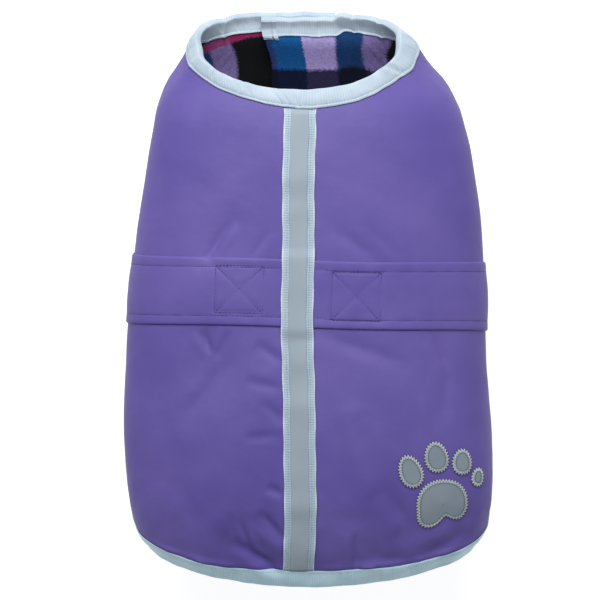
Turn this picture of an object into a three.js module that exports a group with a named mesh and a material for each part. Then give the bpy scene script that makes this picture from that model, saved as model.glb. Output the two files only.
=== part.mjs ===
import * as THREE from 'three';

// All sizes are in millimetres. X runs to the wearer's right, Y to the neck, Z up.

// Thickness of each cloth and the gap left at a seam.
const SHELL = 1.0;
const LINING = 2.0;
const BINDING = 1.0;
const BAND = 1.4;
const TAPE = 1.0;
const STRIP = 1.0;
const PATCH = 1.0;
const GAP = 0.3;
const FOLD_GAP = 0.45;

// Widths of the flat trims.
const NECK_FACE = 16;
const EDGE_FACE = 15;
const TAPE_WIDTH = 26;
const STRIP_WIDTH = 14.5;
const NECK_ROUND = 2.3;
const EDGE_ROUND = 1.3;
const HEM_SLACK = 2.2;

// How far each chest flap and each belly end runs past the middle.
const CHEST_PAST = 30;
const BELLY_PAST = 32;
const CHEST_LIFT = 3.4;
const BELLY_LIFT = 0.9;
const LIFT_START = 74;
const LIFT_END = 35;

// Rear end of the panel: a rounded corner between the side edge and the hem.
const SIDE_ARC = 217;
const REAR_START = 290;
const REAR_LENGTH = 121;
const REAR_POWER = 1.97;
const CORNER_TURN = 50;

const HALF_COLUMNS = 16;
const SECTION_STEPS = 160;

// Sections of the filled coat. s: distance down the back, top and low: where the section
// crosses the middle above and below, half: half width, mid: middle in X, seam: X of the
// tape down the back, power and lowPower: squareness of the upper and the lower half,
// egg: how far the widest place sits below the middle.
const RING_COLUMNS = [
  's', 'topY', 'topZ', 'lowY', 'lowZ', 'half', 'mid', 'seam', 'power', 'lowPower', 'egg',
];
const RINGS = [
  [0, 173, -5, 238, -44, 80, -2, -1, 2.2, 3.1, 0.16],
  [9, 164, -2, 221, -60, 93.5, 1.5, -1, 2.2, 3, 0.15],
  [18, 155, 0, 205, -74, 113.5, 5, -0.8, 2.3, 2.8, 0.12],
  [30, 143, 1.5, 182, -86, 123, 6.5, -0.5, 2.4, 2.6, 0.08],
  [45, 128, 2.2, 159, -95, 128.5, 7.5, -0.6, 2.45, 2.5, 0.04],
  [90, 83, 2.3, 100, -106, 138, 8, -1, 2.5, 2.5, 0],
  [150, 23, 2.3, 28, -110, 145, 7, -1.8, 2.5, 2.5, 0],
  [220, -47, 2.3, -47, -110, 148.5, 5, -1.8, 2.5, 2.5, 0],
  [290, -117, 2, -117, -107, 151, 7, 0, 2.5, 2.5, 0],
  [345, -171, -4, -171, -102, 147.5, 9, 0, 2.5, 2.5, 0],
  [380, -204, -14, -204, -100, 140, 9.5, -0.8, 2.45, 2.4, 0],
  [412, -232, -30, -230, -100, 130, 9.5, -1.5, 2.4, 2.4, 0],
].map((row) => Object.fromEntries(RING_COLUMNS.map((name, i) => [name, row[i]])));

// Rows of the panel from the neck to the start of the rounded rear end. centre and side:
// distance down the back in the middle and at the side, span: share of the half girth
// reached at the side; null follows the straight end of the chest flap.
const FRONT_ROWS = [
  { centre: 28, side: 17, span: null },
  { centre: 40, side: 28, span: null },
  { centre: 52, side: 40, span: null },
  { centre: 64, side: 51, span: 1.045 },
  { centre: 76, side: 62, span: 0.965 },
  { centre: 88, side: 74, span: 0.872 },
  { centre: 101, side: 88, span: 0.78 },
  { centre: 114, side: 105, span: 0.698 },
  { centre: 127, side: 124, span: 0.643 },
  { centre: 139.5, side: 139.5, span: 0.624 },
  { centre: 158, side: 158, span: 0.62 },
  { centre: 176, side: 176, span: 0.62 },
  { centre: 194, side: 194, span: 0.62 },
  { centre: 218, side: 218, span: 0.62 },
  { centre: 243, side: 243, span: 0.62 },
  { centre: 267, side: 267, span: 0.623 },
  { centre: 290, side: 290, span: 0.627 },
];
const REAR_ROWS = 5;
const BAND_TOP = 139.5;
const BAND_ROWS = [139.5, 158, 176, 194];

// Soft folds of the panel, seen from above: two ends, how deep and how wide.
const FOLDS = [
  { x1: -74, y1: 38, x2: -56, y2: 66, depth: 1.6, width: 11 },
  { x1: 30, y1: 58, x2: 58, y2: 38, depth: 1.4, width: 11 },
  { x1: -75, y1: -30, x2: -80, y2: -58, depth: 2.0, width: 10 },
  { x1: -62, y1: -52, x2: -90, y2: -92, depth: 1.5, width: 13 },
  { x1: 38, y1: -34, x2: 80, y2: -50, depth: 2.2, width: 10 },
  { x1: 110, y1: -32, x2: 117, y2: -88, depth: 1.8, width: 11 },
  { x1: 70, y1: -154, x2: 90, y2: -184, depth: 1.8, width: 11 },
  { x1: -58, y1: -194, x2: -36, y2: -208, depth: 2.0, width: 10 },
  { x1: 42, y1: -92, x2: 54, y2: -150, depth: -1.4, width: 11 },
];

// Patches of the paw print: how far round from the middle of the back, how far down the
// back, half sizes across and along, and the turn in degrees.
const TOES = [
  { name: 'paw_toe_1', across: 82, along: 311.5, halfAcross: 10, halfAlong: 13.7, turn: -18 },
  { name: 'paw_toe_2', across: 103.5, along: 300, halfAcross: 10.3, halfAlong: 12.7, turn: -8 },
  { name: 'paw_toe_3', across: 125.3, along: 304, halfAcross: 9, halfAlong: 10.7, turn: 4 },
  { name: 'paw_toe_4', across: 139.5, along: 316.5, halfAcross: 6.4, halfAlong: 7.9, turn: 16 },
];
const PAD = { across: 107.3, along: 337, halfAcross: 21.8, halfAlong: 20.3, turn: 0 };

const lerp = (from, to, t) => from + (to - from) * t;

function smooth(from, to, x) {
  const t = Math.min(1, Math.max(0, (x - from) / (to - from)));
  return t * t * (3 - 2 * t);
}

// Section sizes at s, by a cubic through the rows of RINGS.
const KEYS = Object.keys(RINGS[0]).filter((key) => key !== 's');

function slopeAt(index, key) {
  const last = RINGS.length - 1;
  const before = RINGS[Math.max(0, index - 1)];
  const after = RINGS[Math.min(last, index + 1)];
  const here = RINGS[index];
  if (index === 0 || index === last) {
    return (after[key] - before[key]) / (after.s - before.s);
  }
  const down = (here[key] - before[key]) / (here.s - before.s);
  const up = (after[key] - here[key]) / (after.s - here.s);
  const span = after.s - before.s;
  return (down * (after.s - here.s) + up * (here.s - before.s)) / span;
}

function sizesAt(s) {
  const last = RINGS.length - 1;
  const sizes = {};
  if (s <= 0 || s >= RINGS[last].s) {
    const end = s <= 0 ? 0 : last;
    for (const key of KEYS) {
      sizes[key] = RINGS[end][key] + slopeAt(end, key) * (s - RINGS[end].s);
    }
    return sizes;
  }
  const index = RINGS.findIndex((row) => row.s > s) - 1;
  const from = RINGS[index];
  const to = RINGS[index + 1];
  const step = to.s - from.s;
  const t = (s - from.s) / step;
  for (const key of KEYS) {
    const a = from[key] * (2 * t ** 3 - 3 * t ** 2 + 1) + to[key] * (3 * t ** 2 - 2 * t ** 3);
    const b = slopeAt(index, key) * (t ** 3 - 2 * t ** 2 + t);
    const c = slopeAt(index + 1, key) * (t ** 3 - t ** 2);
    sizes[key] = a + (b + c) * step;
  }
  return sizes;
}

// One half of the section at s, as points with their distance from the top middle.
const sections = new Map();

function sectionAt(s) {
  const name = s.toFixed(4);
  if (sections.has(name)) {
    return sections.get(name);
  }
  const sizes = sizesAt(s);
  const points = [];
  const arcs = [];
  for (let k = 0; k <= SECTION_STEPS; k += 1) {
    const angle = (Math.PI * k) / SECTION_STEPS;
    const cos = Math.cos(angle);
    const power = lerp(sizes.lowPower, sizes.power, smooth(-0.35, 0.35, cos));
    const up = Math.sign(cos) * Math.abs(cos) ** (2 / power);
    const side = Math.sin(angle) ** (2 / power) * (1 - sizes.egg * cos);
    const point = new THREE.Vector3(
      sizes.half * side,
      lerp(sizes.lowY, sizes.topY, (1 + up) / 2),
      lerp(sizes.lowZ, sizes.topZ, (1 + up) / 2),
    );
    points.push(point);
    arcs.push(k === 0 ? 0 : arcs[k - 1] + point.distanceTo(points[k - 1]));
  }
  const section = { sizes, points, arcs, girth: arcs[SECTION_STEPS] };
  sections.set(name, section);
  return section;
}

const halfGirth = (s) => sectionAt(s).girth;

// Point of the filled form. f: share of the half girth from the middle of the back,
// positive to the right; it may run past 1, on to the other side.
function formPoint(f, s) {
  const { sizes, points, arcs, girth } = sectionAt(s);
  let arc = f * girth;
  let sign = Math.sign(arc) || 1;
  arc = Math.abs(arc);
  if (arc > girth) {
    arc = 2 * girth - arc;
    sign = -sign;
  }
  let low = 0;
  let high = SECTION_STEPS;
  while (high - low > 1) {
    const half = (low + high) >> 1;
    if (arcs[half] > arc) {
      high = half;
    } else {
      low = half;
    }
  }
  const t = (arc - arcs[low]) / (arcs[high] - arcs[low]);
  const point = points[low].clone().lerp(points[high], t);
  point.x = sizes.mid + sign * point.x;
  return point;
}

function slopes(f, s) {
  const df = 3 / halfGirth(s);
  const ds = 2.5;
  const across = formPoint(f + df, s).sub(formPoint(f - df, s)).divideScalar(2 * df);
  const along = formPoint(f, s + ds).sub(formPoint(f, s - ds)).divideScalar(2 * ds);
  const normal = along.clone().cross(across).normalize();
  return { across, along, normal };
}

// The share of the overlap lift reached at f: 0 on the sides, 1 under the other end.
function overlap(f, s) {
  const left = (1 - Math.abs(f)) * halfGirth(s);
  return smooth(-LIFT_START, -LIFT_END, -left);
}

function foldAt(x, y) {
  let sum = 0;
  for (const fold of FOLDS) {
    const dx = fold.x2 - fold.x1;
    const dy = fold.y2 - fold.y1;
    const t = ((x - fold.x1) * dx + (y - fold.y1) * dy) / (dx * dx + dy * dy);
    const near = Math.min(1, Math.max(0, t));
    const away = Math.hypot(x - fold.x1 - dx * near, y - fold.y1 - dy * near);
    sum += fold.depth * Math.exp(-((away / fold.width) ** 2));
  }
  return sum;
}

// Point of the cloth, out: distance above the inner face of the shell.
function clothPoint(f, s, out) {
  const point = formPoint(f, s);
  const { normal } = slopes(f, s);
  const lift = -Math.sign(f) * CHEST_LIFT * overlap(f, s);
  const fold = Math.abs(f) < 0.5 ? foldAt(point.x, point.y) : 0;
  return point.addScaledVector(normal, out + lift - fold);
}

// A step of given length square to an edge, inside the cloth: a change of f and s.
function squareStep(f, s, edgeF, edgeS, length) {
  const { across, along, normal } = slopes(f, s);
  const edge = across.clone().multiplyScalar(edgeF).addScaledVector(along, edgeS);
  const inward = normal.clone().cross(edge).normalize().multiplyScalar(length);
  const aa = across.dot(across);
  const ab = across.dot(along);
  const bb = along.dot(along);
  const pa = across.dot(inward);
  const pb = along.dot(inward);
  const det = aa * bb - ab * ab;
  return { f: f + (pa * bb - pb * ab) / det, s: s + (pb * aa - pa * ab) / det };
}

const flapSpan = (s) => 1 + CHEST_PAST / halfGirth(s);

function rearEdge(turn) {
  const angle = THREE.MathUtils.degToRad(turn);
  const arc = SIDE_ARC * Math.sin(angle) ** (2 / REAR_POWER);
  const s = REAR_START + REAR_LENGTH * Math.cos(angle) ** (2 / REAR_POWER);
  return { f: arc / halfGirth(s), s };
}

// The right-hand edge of the panel from the neck to the rear corner, a place per row.
function sideEdge() {
  const neck = squareStep(flapSpan(0), 0, 1, 0, -NECK_FACE);
  const places = [{ f: flapSpan(0), s: 0 }, { f: flapSpan(neck.s), s: neck.s }];
  for (const row of FRONT_ROWS) {
    places.push({ f: row.span ?? flapSpan(row.side), s: row.side });
  }
  const last = CORNER_TURN + 6;
  for (let k = 1; k <= REAR_ROWS; k += 1) {
    places.push(rearEdge(lerp(90, last, k / REAR_ROWS)));
  }
  places.push(rearEdge(CORNER_TURN));
  return places;
}

// The same edge moved in by the face of its binding.
function sideInner(edge) {
  return edge.map((place, row) => {
    if (row < 4) {
      return { f: place.f - EDGE_FACE / halfGirth(place.s), s: place.s };
    }
    const before = edge[row - 1];
    const after = edge[Math.min(edge.length - 1, row + 1)];
    const inner = squareStep(place.f, place.s, after.f - before.f, after.s - before.s, -EDGE_FACE);
    return row === 4 ? { f: place.f - EDGE_FACE / halfGirth(place.s), s: inner.s } : inner;
  });
}

// Half of the panel as rows of places, from the centre back line to the side edge.
function halfPanel() {
  const edge = sideEdge();
  const inner = sideInner(edge);
  const lastRow = edge.length - 1;
  const rearRow = FRONT_ROWS.length + 1;
  const hemTurn = CORNER_TURN - 6;
  const hem = [];
  const hemInner = [];
  for (let i = 0; i <= HALF_COLUMNS; i += 1) {
    const turn = (hemTurn * i) / HALF_COLUMNS;
    const place = rearEdge(turn);
    const ahead = rearEdge(turn + 1);
    hem.push(place);
    hemInner.push(squareStep(place.f, place.s, ahead.f - place.f, ahead.s - place.s, EDGE_FACE));
  }
  const corner = edge[lastRow];
  const past = rearEdge(CORNER_TURN - 1);
  hemInner[HALF_COLUMNS] = squareStep(corner.f, corner.s, past.f - corner.f, past.s - corner.s, -EDGE_FACE);
  const rows = edge.map((end, row) => {
    const places = [];
    for (let i = 0; i <= HALF_COLUMNS; i += 1) {
      const t = i / HALF_COLUMNS;
      if (row === 0) {
        places.push({ f: inner[0].f * t, s: 0 });
      } else if (row === 1) {
        places.push(squareStep(inner[0].f * t, 0, 1, 0, -NECK_FACE));
      } else if (row <= rearRow) {
        const centre = FRONT_ROWS[row - 2].centre;
        places.push({ f: inner[row].f * t, s: lerp(centre, inner[row].s, t ** 2.5) });
      } else if (row === lastRow) {
        places.push(hem[i]);
      } else {
        const w = (row - rearRow) / REAR_ROWS;
        const start = { f: inner[rearRow].f * t, s: REAR_START };
        const target = row === lastRow - 1 ? hemInner[HALF_COLUMNS] : inner[row];
        const plainF = lerp(inner[rearRow].f, hemInner[HALF_COLUMNS].f, w);
        const plainS = lerp(REAR_START, hemInner[HALF_COLUMNS].s, w);
        places.push({
          f: lerp(start.f, hemInner[i].f, w) + (target.f - plainF) * t,
          s: lerp(start.s, hemInner[i].s, w) + (target.s - plainS) * t ** 3,
        });
      }
    }
    places.push(end);
    return places;
  });
  return rows;
}

const mirror = (place) => ({ f: -place.f, s: place.s });
const HALF_PANEL = halfPanel();
const PANEL = HALF_PANEL.map((row) => [...row.slice(1).reverse().map(mirror), ...row]);

// Closed body from vertices and faces, turned so that its faces look out.
function body(name, vertices, faces, material) {
  const kept = [];
  const numbers = new Map();
  const number = (vertex) => {
    const key = vertex.toArray().map((value) => value.toFixed(3)).join(' ');
    if (!numbers.has(key)) {
      numbers.set(key, kept.length);
      kept.push(vertex);
    }
    return numbers.get(key);
  };
  const merged = vertices.map(number);
  let order = faces.map((face) => face.map((corner) => merged[corner]));
  order = order.filter(([a, b, c]) => a !== b && b !== c && c !== a);
  let volume = 0;
  for (const [a, b, c] of order) {
    volume += kept[a].dot(kept[b].clone().cross(kept[c]));
  }
  if (volume < 0) {
    order = order.map(([a, b, c]) => [a, c, b]);
  }
  const geometry = new THREE.BufferGeometry();
  const positions = kept.flatMap((vertex) => vertex.toArray());
  geometry.setAttribute('position', new THREE.Float32BufferAttribute(positions, 3));
  geometry.setIndex(order.flat());
  geometry.computeVertexNormals();
  const mesh = new THREE.Mesh(geometry, material);
  mesh.name = name;
  return mesh;
}

// Two triangles of a cell, cut from its first to its last corner or the other way.
function cell(a, b, c, d, firstToLast) {
  return firstToLast ? [[a, b, d], [a, d, c]] : [[a, b, c], [b, d, c]];
}

// Cells of the panel are cut along the shorter diagonal; on its border the cut leans to
// the middle, and the two rear corners are cut from the corner inwards.
function panelCut(row, column) {
  const columns = PANEL[0].length - 1;
  const left = column < columns / 2;
  const side = column === 0 || column === columns - 1;
  if (side && row === PANEL.length - 2) {
    return !left;
  }
  if (side || row === 0 || row === PANEL.length - 2) {
    return left;
  }
  const at = (j, i) => formPoint(PANEL[j][i].f, PANEL[j][i].s);
  const first = at(row, column).distanceTo(at(row + 1, column + 1));
  const second = at(row, column + 1).distanceTo(at(row + 1, column));
  return Math.abs(first - second) < 1 ? left : first < second;
}

// Sheet through rows of points above and below; every row has the same count.
function sheet(name, upper, lower, material, cut = (row, column, middle) => column < middle) {
  const rows = upper.length;
  const columns = upper[0].length;
  const vertices = [...upper.flat(), ...lower.flat()];
  const under = rows * columns;
  const at = (row, column) => row * columns + column;
  const faces = [];
  for (let j = 0; j < rows - 1; j += 1) {
    for (let i = 0; i < columns - 1; i += 1) {
      const corners = [at(j, i), at(j, i + 1), at(j + 1, i), at(j + 1, i + 1)];
      const pair = cell(...corners, cut(j, i, (columns - 1) / 2));
      faces.push(...pair, ...pair.map(([p, q, r]) => [p + under, r + under, q + under]));
    }
  }
  const rim = [];
  for (let i = 0; i < columns - 1; i += 1) {
    rim.push([at(0, i + 1), at(0, i)], [at(rows - 1, i), at(rows - 1, i + 1)]);
  }
  for (let j = 0; j < rows - 1; j += 1) {
    rim.push([at(j, 0), at(j + 1, 0)], [at(j + 1, columns - 1), at(j, columns - 1)]);
  }
  for (const [p, q] of rim) {
    faces.push([p, q, q + under], [p, q + under, p + under]);
  }
  return body(name, vertices, faces, material);
}

function panelLayer(name, top, bottom, material) {
  const layer = (out) => PANEL.map((row) => row.map((place) => clothPoint(place.f, place.s, out)));
  return sheet(name, layer(top), layer(bottom), material, panelCut);
}

// Binding folded over an edge: nine points at each station, closed at both ends.
function foldedBinding(name, stations, material) {
  const outside = SHELL + FOLD_GAP + BINDING;
  const inside = -(GAP + LINING + FOLD_GAP + BINDING);
  const vertices = stations.flatMap(({ edge, inner, beyond }) => {
    const near = { f: lerp(edge.f, beyond.f, 0.35), s: lerp(edge.s, beyond.s, 0.35) };
    const middle = (outside + inside) / 2;
    return [
      clothPoint(inner.f, inner.s, outside),
      clothPoint(edge.f, edge.s, outside),
      clothPoint(beyond.f, beyond.s, middle),
      clothPoint(edge.f, edge.s, inside),
      clothPoint(inner.f, inner.s, inside),
      clothPoint(inner.f, inner.s, inside + BINDING),
      clothPoint(near.f, near.s, inside + BINDING),
      clothPoint(near.f, near.s, outside - BINDING),
      clothPoint(inner.f, inner.s, outside - BINDING),
    ];
  });
  const sides = 9;
  const faces = [];
  for (let k = 0; k < stations.length - 1; k += 1) {
    for (let i = 0; i < sides; i += 1) {
      const a = k * sides + i;
      const b = k * sides + ((i + 1) % sides);
      const leans = stations[k].leans !== (i === 3 || i === 7);
      const [c, d] = [a + sides, b + sides];
      faces.push(...(leans ? [[a, d, b], [a, c, d]] : [[a, c, b], [b, c, d]]));
    }
  }
  const cap = [[0, 8, 1], [1, 8, 7], [1, 7, 2], [2, 7, 6], [2, 6, 3], [3, 6, 4], [4, 6, 5]];
  const end = (stations.length - 1) * sides;
  faces.push(...cap.map(([a, b, c]) => [a, c, b]), ...cap.map(([a, b, c]) => [a + end, b + end, c + end]));
  return body(name, vertices, faces, material);
}

// Stations along the neck edge, from the left flap to the right flap.
function neckStations() {
  const count = PANEL[0].length;
  return PANEL[0].map((edge, i) => ({
    edge,
    inner: PANEL[1][i],
    beyond: squareStep(edge.f, edge.s, 1, 0, NECK_ROUND),
    leans: i >= (count - 1) / 2,
  }));
}

// Stations along the lower edge, from the right flap round the hem to the left flap.
function edgeStations() {
  const firstRow = 4;
  const lastRow = HALF_PANEL.length - 1;
  const half = [];
  for (let row = firstRow; row <= lastRow; row += 1) {
    const places = HALF_PANEL[row];
    const innerRow = Math.min(row, lastRow - 1);
    half.push({ edge: places[HALF_COLUMNS + 1], inner: HALF_PANEL[innerRow][HALF_COLUMNS] });
  }
  for (let i = HALF_COLUMNS; i >= 0; i -= 1) {
    half.push({ edge: HALF_PANEL[lastRow][i], inner: HALF_PANEL[lastRow - 1][i] });
  }
  half[0].inner = { f: flapSpan(half[0].inner.s), s: half[0].inner.s };
  const sideCount = lastRow - firstRow + 1;
  const whole = half.slice(0, -1).map((place, k) => ({ ...place, leans: k >= sideCount }));
  for (let k = half.length - 1; k >= 0; k -= 1) {
    const { edge, inner } = half[k];
    whole.push({ edge: mirror(edge), inner: mirror(inner), leans: k <= sideCount });
  }
  return whole.map((station, k) => {
    const before = whole[Math.max(0, k - 1)].edge;
    const after = whole[Math.min(whole.length - 1, k + 1)].edge;
    const { edge } = station;
    const beyond = squareStep(edge.f, edge.s, after.f - before.f, after.s - before.s, EDGE_ROUND);
    return { ...station, beyond };
  });
}

// Belly band: on the panel it takes the panel's own columns, below it runs on round.
function bellyBand(material) {
  const step = 17;
  const panelRow = 2 + FRONT_ROWS.findIndex((row) => row.centre === BAND_TOP);
  const strips = BAND_ROWS.map((s, k) => {
    const girth = halfGirth(s);
    const places = HALF_PANEL[panelRow + k].map(({ f }, i) => {
      const onEdge = i >= HALF_COLUMNS;
      return { f, out: SHELL + GAP + (onEdge ? BINDING + FOLD_GAP : 0) };
    });
    const edge = places[places.length - 1];
    places.push({ f: edge.f + 3 / girth, out: edge.out });
    const left = (1 - edge.f) * girth + BELLY_PAST - 3;
    const count = Math.round(left / step);
    for (let i = 1; i <= count; i += 1) {
      places.push({ f: edge.f + (3 + (left * i) / count) / girth, out: 0 });
    }
    return { s, places };
  });
  const layer = (thick) => strips.map(({ s, places }) => {
    const at = ({ f, out }, side) => {
      const { normal } = slopes(f * side, s);
      const lift = -side * BELLY_LIFT * overlap(f, s);
      const fold = Math.abs(f) < 0.5 ? foldAt(formPoint(f * side, s).x, formPoint(f * side, s).y) : 0;
      return formPoint(f * side, s).addScaledVector(normal, out + thick + lift - fold);
    };
    const left = places.slice(1).reverse().map((place) => at(place, -1));
    return [...left, ...places.map((place) => at(place, 1))];
  });
  return sheet('belly_band', layer(BAND), layer(0), material);
}

// Tape down the back from the neck to the hem, stepping over the band.
function backTape(name, width, start, thick, material) {
  const last = HALF_PANEL.length - 2;
  const bandEnd = BAND_ROWS[BAND_ROWS.length - 1];
  const plain = HALF_PANEL.slice(1, last + 1).map((row) => row[0].s);
  const steps = [BAND_TOP - 3, bandEnd + 3];
  const stations = [...plain, ...steps].sort((a, b) => a - b);
  stations[0] += GAP;
  stations[stations.length - 1] -= HEM_SLACK;
  const onBand = (s) => (s >= BAND_TOP && s <= bandEnd ? BAND + GAP : 0);
  const layer = (out) => stations.map((s) => [-1, 0, 1].map((side) => {
    const { sizes, girth } = sectionAt(s);
    const f = (sizes.seam - sizes.mid + (side * width) / 2) / girth;
    return clothPoint(f, s, out + onBand(s));
  }));
  return sheet(name, layer(start + thick), layer(start), material);
}

// Patch lying on the shell: rings of points of a rounded outline.
function patch(name, { across, along, halfAcross, halfAlong, turn }, outline, material) {
  const around = 20;
  const angle = THREE.MathUtils.degToRad(turn);
  const rings = [0.34, 0.67, 1];
  const place = (share, k, out) => {
    const [px, py] = outline((2 * Math.PI * k) / around);
    const x = px * halfAcross * share;
    const y = py * halfAlong * share;
    const a = across + x * Math.cos(angle) - y * Math.sin(angle);
    const s = along + x * Math.sin(angle) + y * Math.cos(angle);
    return clothPoint(a / halfGirth(s), s, out);
  };
  const vertices = [];
  for (const out of [SHELL + GAP + PATCH, SHELL + GAP]) {
    vertices.push(place(0, 0, out));
    for (const share of rings) {
      for (let k = 0; k < around; k += 1) {
        vertices.push(place(share, k, out));
      }
    }
  }
  const under = 1 + rings.length * around;
  const faces = [];
  const both = (a, b, c) => faces.push([a, b, c], [a + under, c + under, b + under]);
  for (let k = 0; k < around; k += 1) {
    const next = (k + 1) % around;
    both(0, 1 + k, 1 + next);
    for (let ring = 0; ring < rings.length - 1; ring += 1) {
      const low = 1 + ring * around;
      const high = low + around;
      both(low + k, high + k, high + next);
      both(low + k, high + next, low + next);
    }
    const rim = 1 + (rings.length - 1) * around;
    const [a, b] = [rim + k, rim + next];
    faces.push([a, a + under, b + under], [a, b + under, b]);
  }
  return body(name, vertices, faces, material);
}

const oval = (angle) => [Math.cos(angle), Math.sin(angle) * (1 - 0.12 * Math.sin(angle))];

// Rounded pad with a hollow in its lower edge and a larger lobe at the lower left.
function padOutline(angle) {
  const swell = (at, width) => Math.exp(-(((angle - at) / width) ** 2));
  const reach = 1 - 0.47 * swell(1.36, 0.5) + 0.22 * swell(2.3, 0.42) + 0.07 * swell(5.5, 0.5);
  return [Math.cos(angle) * reach, Math.sin(angle) * reach];
}

function material(name, color, roughness, metalness) {
  const cloth = new THREE.MeshStandardMaterial({ color, roughness, metalness });
  cloth.name = name;
  return cloth;
}

const materials = () => ({
  nylon: () => material('nylon_purple', 0x665aa0, 0.62, 0),
  fleece: () => material('fleece_plaid', 0x7a5a86, 0.95, 0),
  grosgrain: () => material('grosgrain_pale_blue', 0xbfd0da, 0.7, 0),
  webbing: () => material('nylon_band_purple', 0x6a5ea4, 0.6, 0),
  tape: () => material('grosgrain_tape', 0xc6d3dc, 0.7, 0),
  strip: () => material('reflective_grey', 0x949fa8, 0.35, 0.25),
  paw: () => material('reflective_patch_grey', 0x75848c, 0.4, 0.2),
});

function coat() {
  const cloth = materials();
  const group = new THREE.Group();
  group.name = 'dog_winter_coat';
  group.add(panelLayer('shell', SHELL, 0, cloth.nylon()));
  group.add(panelLayer('lining', -GAP, -GAP - LINING, cloth.fleece()));
  group.add(foldedBinding('neck_binding', neckStations(), cloth.grosgrain()));
  group.add(foldedBinding('edge_binding', edgeStations(), cloth.grosgrain()));
  group.add(bellyBand(cloth.webbing()));
  group.add(backTape('back_tape', TAPE_WIDTH, SHELL + GAP, TAPE, cloth.tape()));
  group.add(backTape('reflective_strip', STRIP_WIDTH, SHELL + TAPE + 2 * GAP, STRIP, cloth.strip()));
  for (const toe of TOES) {
    group.add(patch(toe.name, toe, oval, cloth.paw()));
  }
  group.add(patch('paw_pad', PAD, padOutline, cloth.paw()));
  return group;
}

export default coat();
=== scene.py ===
"""Dog winter coat, filled out with no wearer: the cloth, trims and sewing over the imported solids."""

import logging
import math
from dataclasses import dataclass, field, fields
from enum import Enum
from typing import Callable, Sequence

import bpy
import numpy as np
from mathutils import Matrix, Vector, noise


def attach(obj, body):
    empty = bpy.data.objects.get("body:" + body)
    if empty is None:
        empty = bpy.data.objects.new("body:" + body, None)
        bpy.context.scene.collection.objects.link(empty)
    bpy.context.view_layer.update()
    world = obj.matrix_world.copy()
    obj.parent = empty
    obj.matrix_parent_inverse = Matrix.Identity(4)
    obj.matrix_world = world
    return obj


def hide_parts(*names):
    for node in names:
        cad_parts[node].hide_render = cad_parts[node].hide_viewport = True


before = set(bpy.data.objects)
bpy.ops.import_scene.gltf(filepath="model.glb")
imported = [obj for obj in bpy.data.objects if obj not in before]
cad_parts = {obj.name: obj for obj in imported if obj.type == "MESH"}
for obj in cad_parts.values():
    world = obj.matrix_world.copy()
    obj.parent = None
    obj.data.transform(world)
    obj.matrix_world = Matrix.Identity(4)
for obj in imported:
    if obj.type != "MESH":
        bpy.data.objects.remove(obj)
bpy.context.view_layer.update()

LOG = logging.getLogger("dog_coat")
Array = np.ndarray
Pair = tuple[float, float]
Material = bpy.types.Material
Node = bpy.types.Node
Socket = bpy.types.NodeSocket
Object = bpy.types.Object

# Sizes of the cloth in millimetres, the same as the solids have.
SHELL = 1.0
LINING = 2.0
BINDING = 1.0
BAND = 1.4
TAPE = 1.0
STRIP = 1.0
GAP = 0.3
FOLD_GAP = 0.45
NECK_FACE = 16.0
EDGE_FACE = 15.0
TAPE_WIDTH = 26.0
STRIP_WIDTH = 14.5
CHEST_PAST = 30.0
BELLY_PAST = 32.0
CHEST_LIFT = 3.4
BELLY_LIFT = 0.9
BAND_TOP = 139.5
BAND_LOW = 194.0
BAND_GIRTH = 345.0

# Share of the half girth where the side edges run under the band.
SIDE_SHARE = 0.62

# The panel's columns from the middle of the back to the side binding, and its first row
# that has a side binding.
HALF_COLUMNS = 16
BOUND_ROW = 4

# How far past a cloth's edge, in millimetres, the fold of its binding is measured.
FOLD_REACH = 2.0

# Edges of a sheet sharper than this many degrees stay sharp.
SHEET_ANGLE = 50.0


class Side(Enum):
    """Left or right of the middle of the back, as the wearer has it."""

    LEFT = -1
    RIGHT = 1


class Held(Enum):
    """How a piece of cloth is held."""

    DRAPED = "draped"
    FOLDED = "folded"
    LAID = "laid"


@dataclass(frozen=True)
class Ring:
    """A section of the filled coat, in millimetres.

    s is the distance down the back, top and low are Y and Z where the section crosses the
    middle, half its half width, mid its middle in X, seam the X of the back tape, power and
    low_power its squareness above and below, egg how far the widest place sits below the
    middle.
    """

    s: float
    top_y: float
    top_z: float
    low_y: float
    low_z: float
    half: float
    mid: float
    seam: float
    power: float
    low_power: float
    egg: float


RINGS = (
    Ring(0, 173, -5, 238, -44, 80, -2, -1, 2.2, 3.1, 0.16),
    Ring(9, 164, -2, 221, -60, 93.5, 1.5, -1, 2.2, 3, 0.15),
    Ring(18, 155, 0, 205, -74, 113.5, 5, -0.8, 2.3, 2.8, 0.12),
    Ring(30, 143, 1.5, 182, -86, 123, 6.5, -0.5, 2.4, 2.6, 0.08),
    Ring(45, 128, 2.2, 159, -95, 128.5, 7.5, -0.6, 2.45, 2.5, 0.04),
    Ring(90, 83, 2.3, 100, -106, 138, 8, -1, 2.5, 2.5, 0),
    Ring(150, 23, 2.3, 28, -110, 145, 7, -1.8, 2.5, 2.5, 0),
    Ring(220, -47, 2.3, -47, -110, 148.5, 5, -1.8, 2.5, 2.5, 0),
    Ring(290, -117, 2, -117, -107, 151, 7, 0, 2.5, 2.5, 0),
    Ring(345, -171, -4, -171, -102, 147.5, 9, 0, 2.5, 2.5, 0),
    Ring(380, -204, -14, -204, -100, 140, 9.5, -0.8, 2.45, 2.4, 0),
    Ring(412, -232, -30, -230, -100, 130, 9.5, -1.5, 2.4, 2.4, 0),
)


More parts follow.
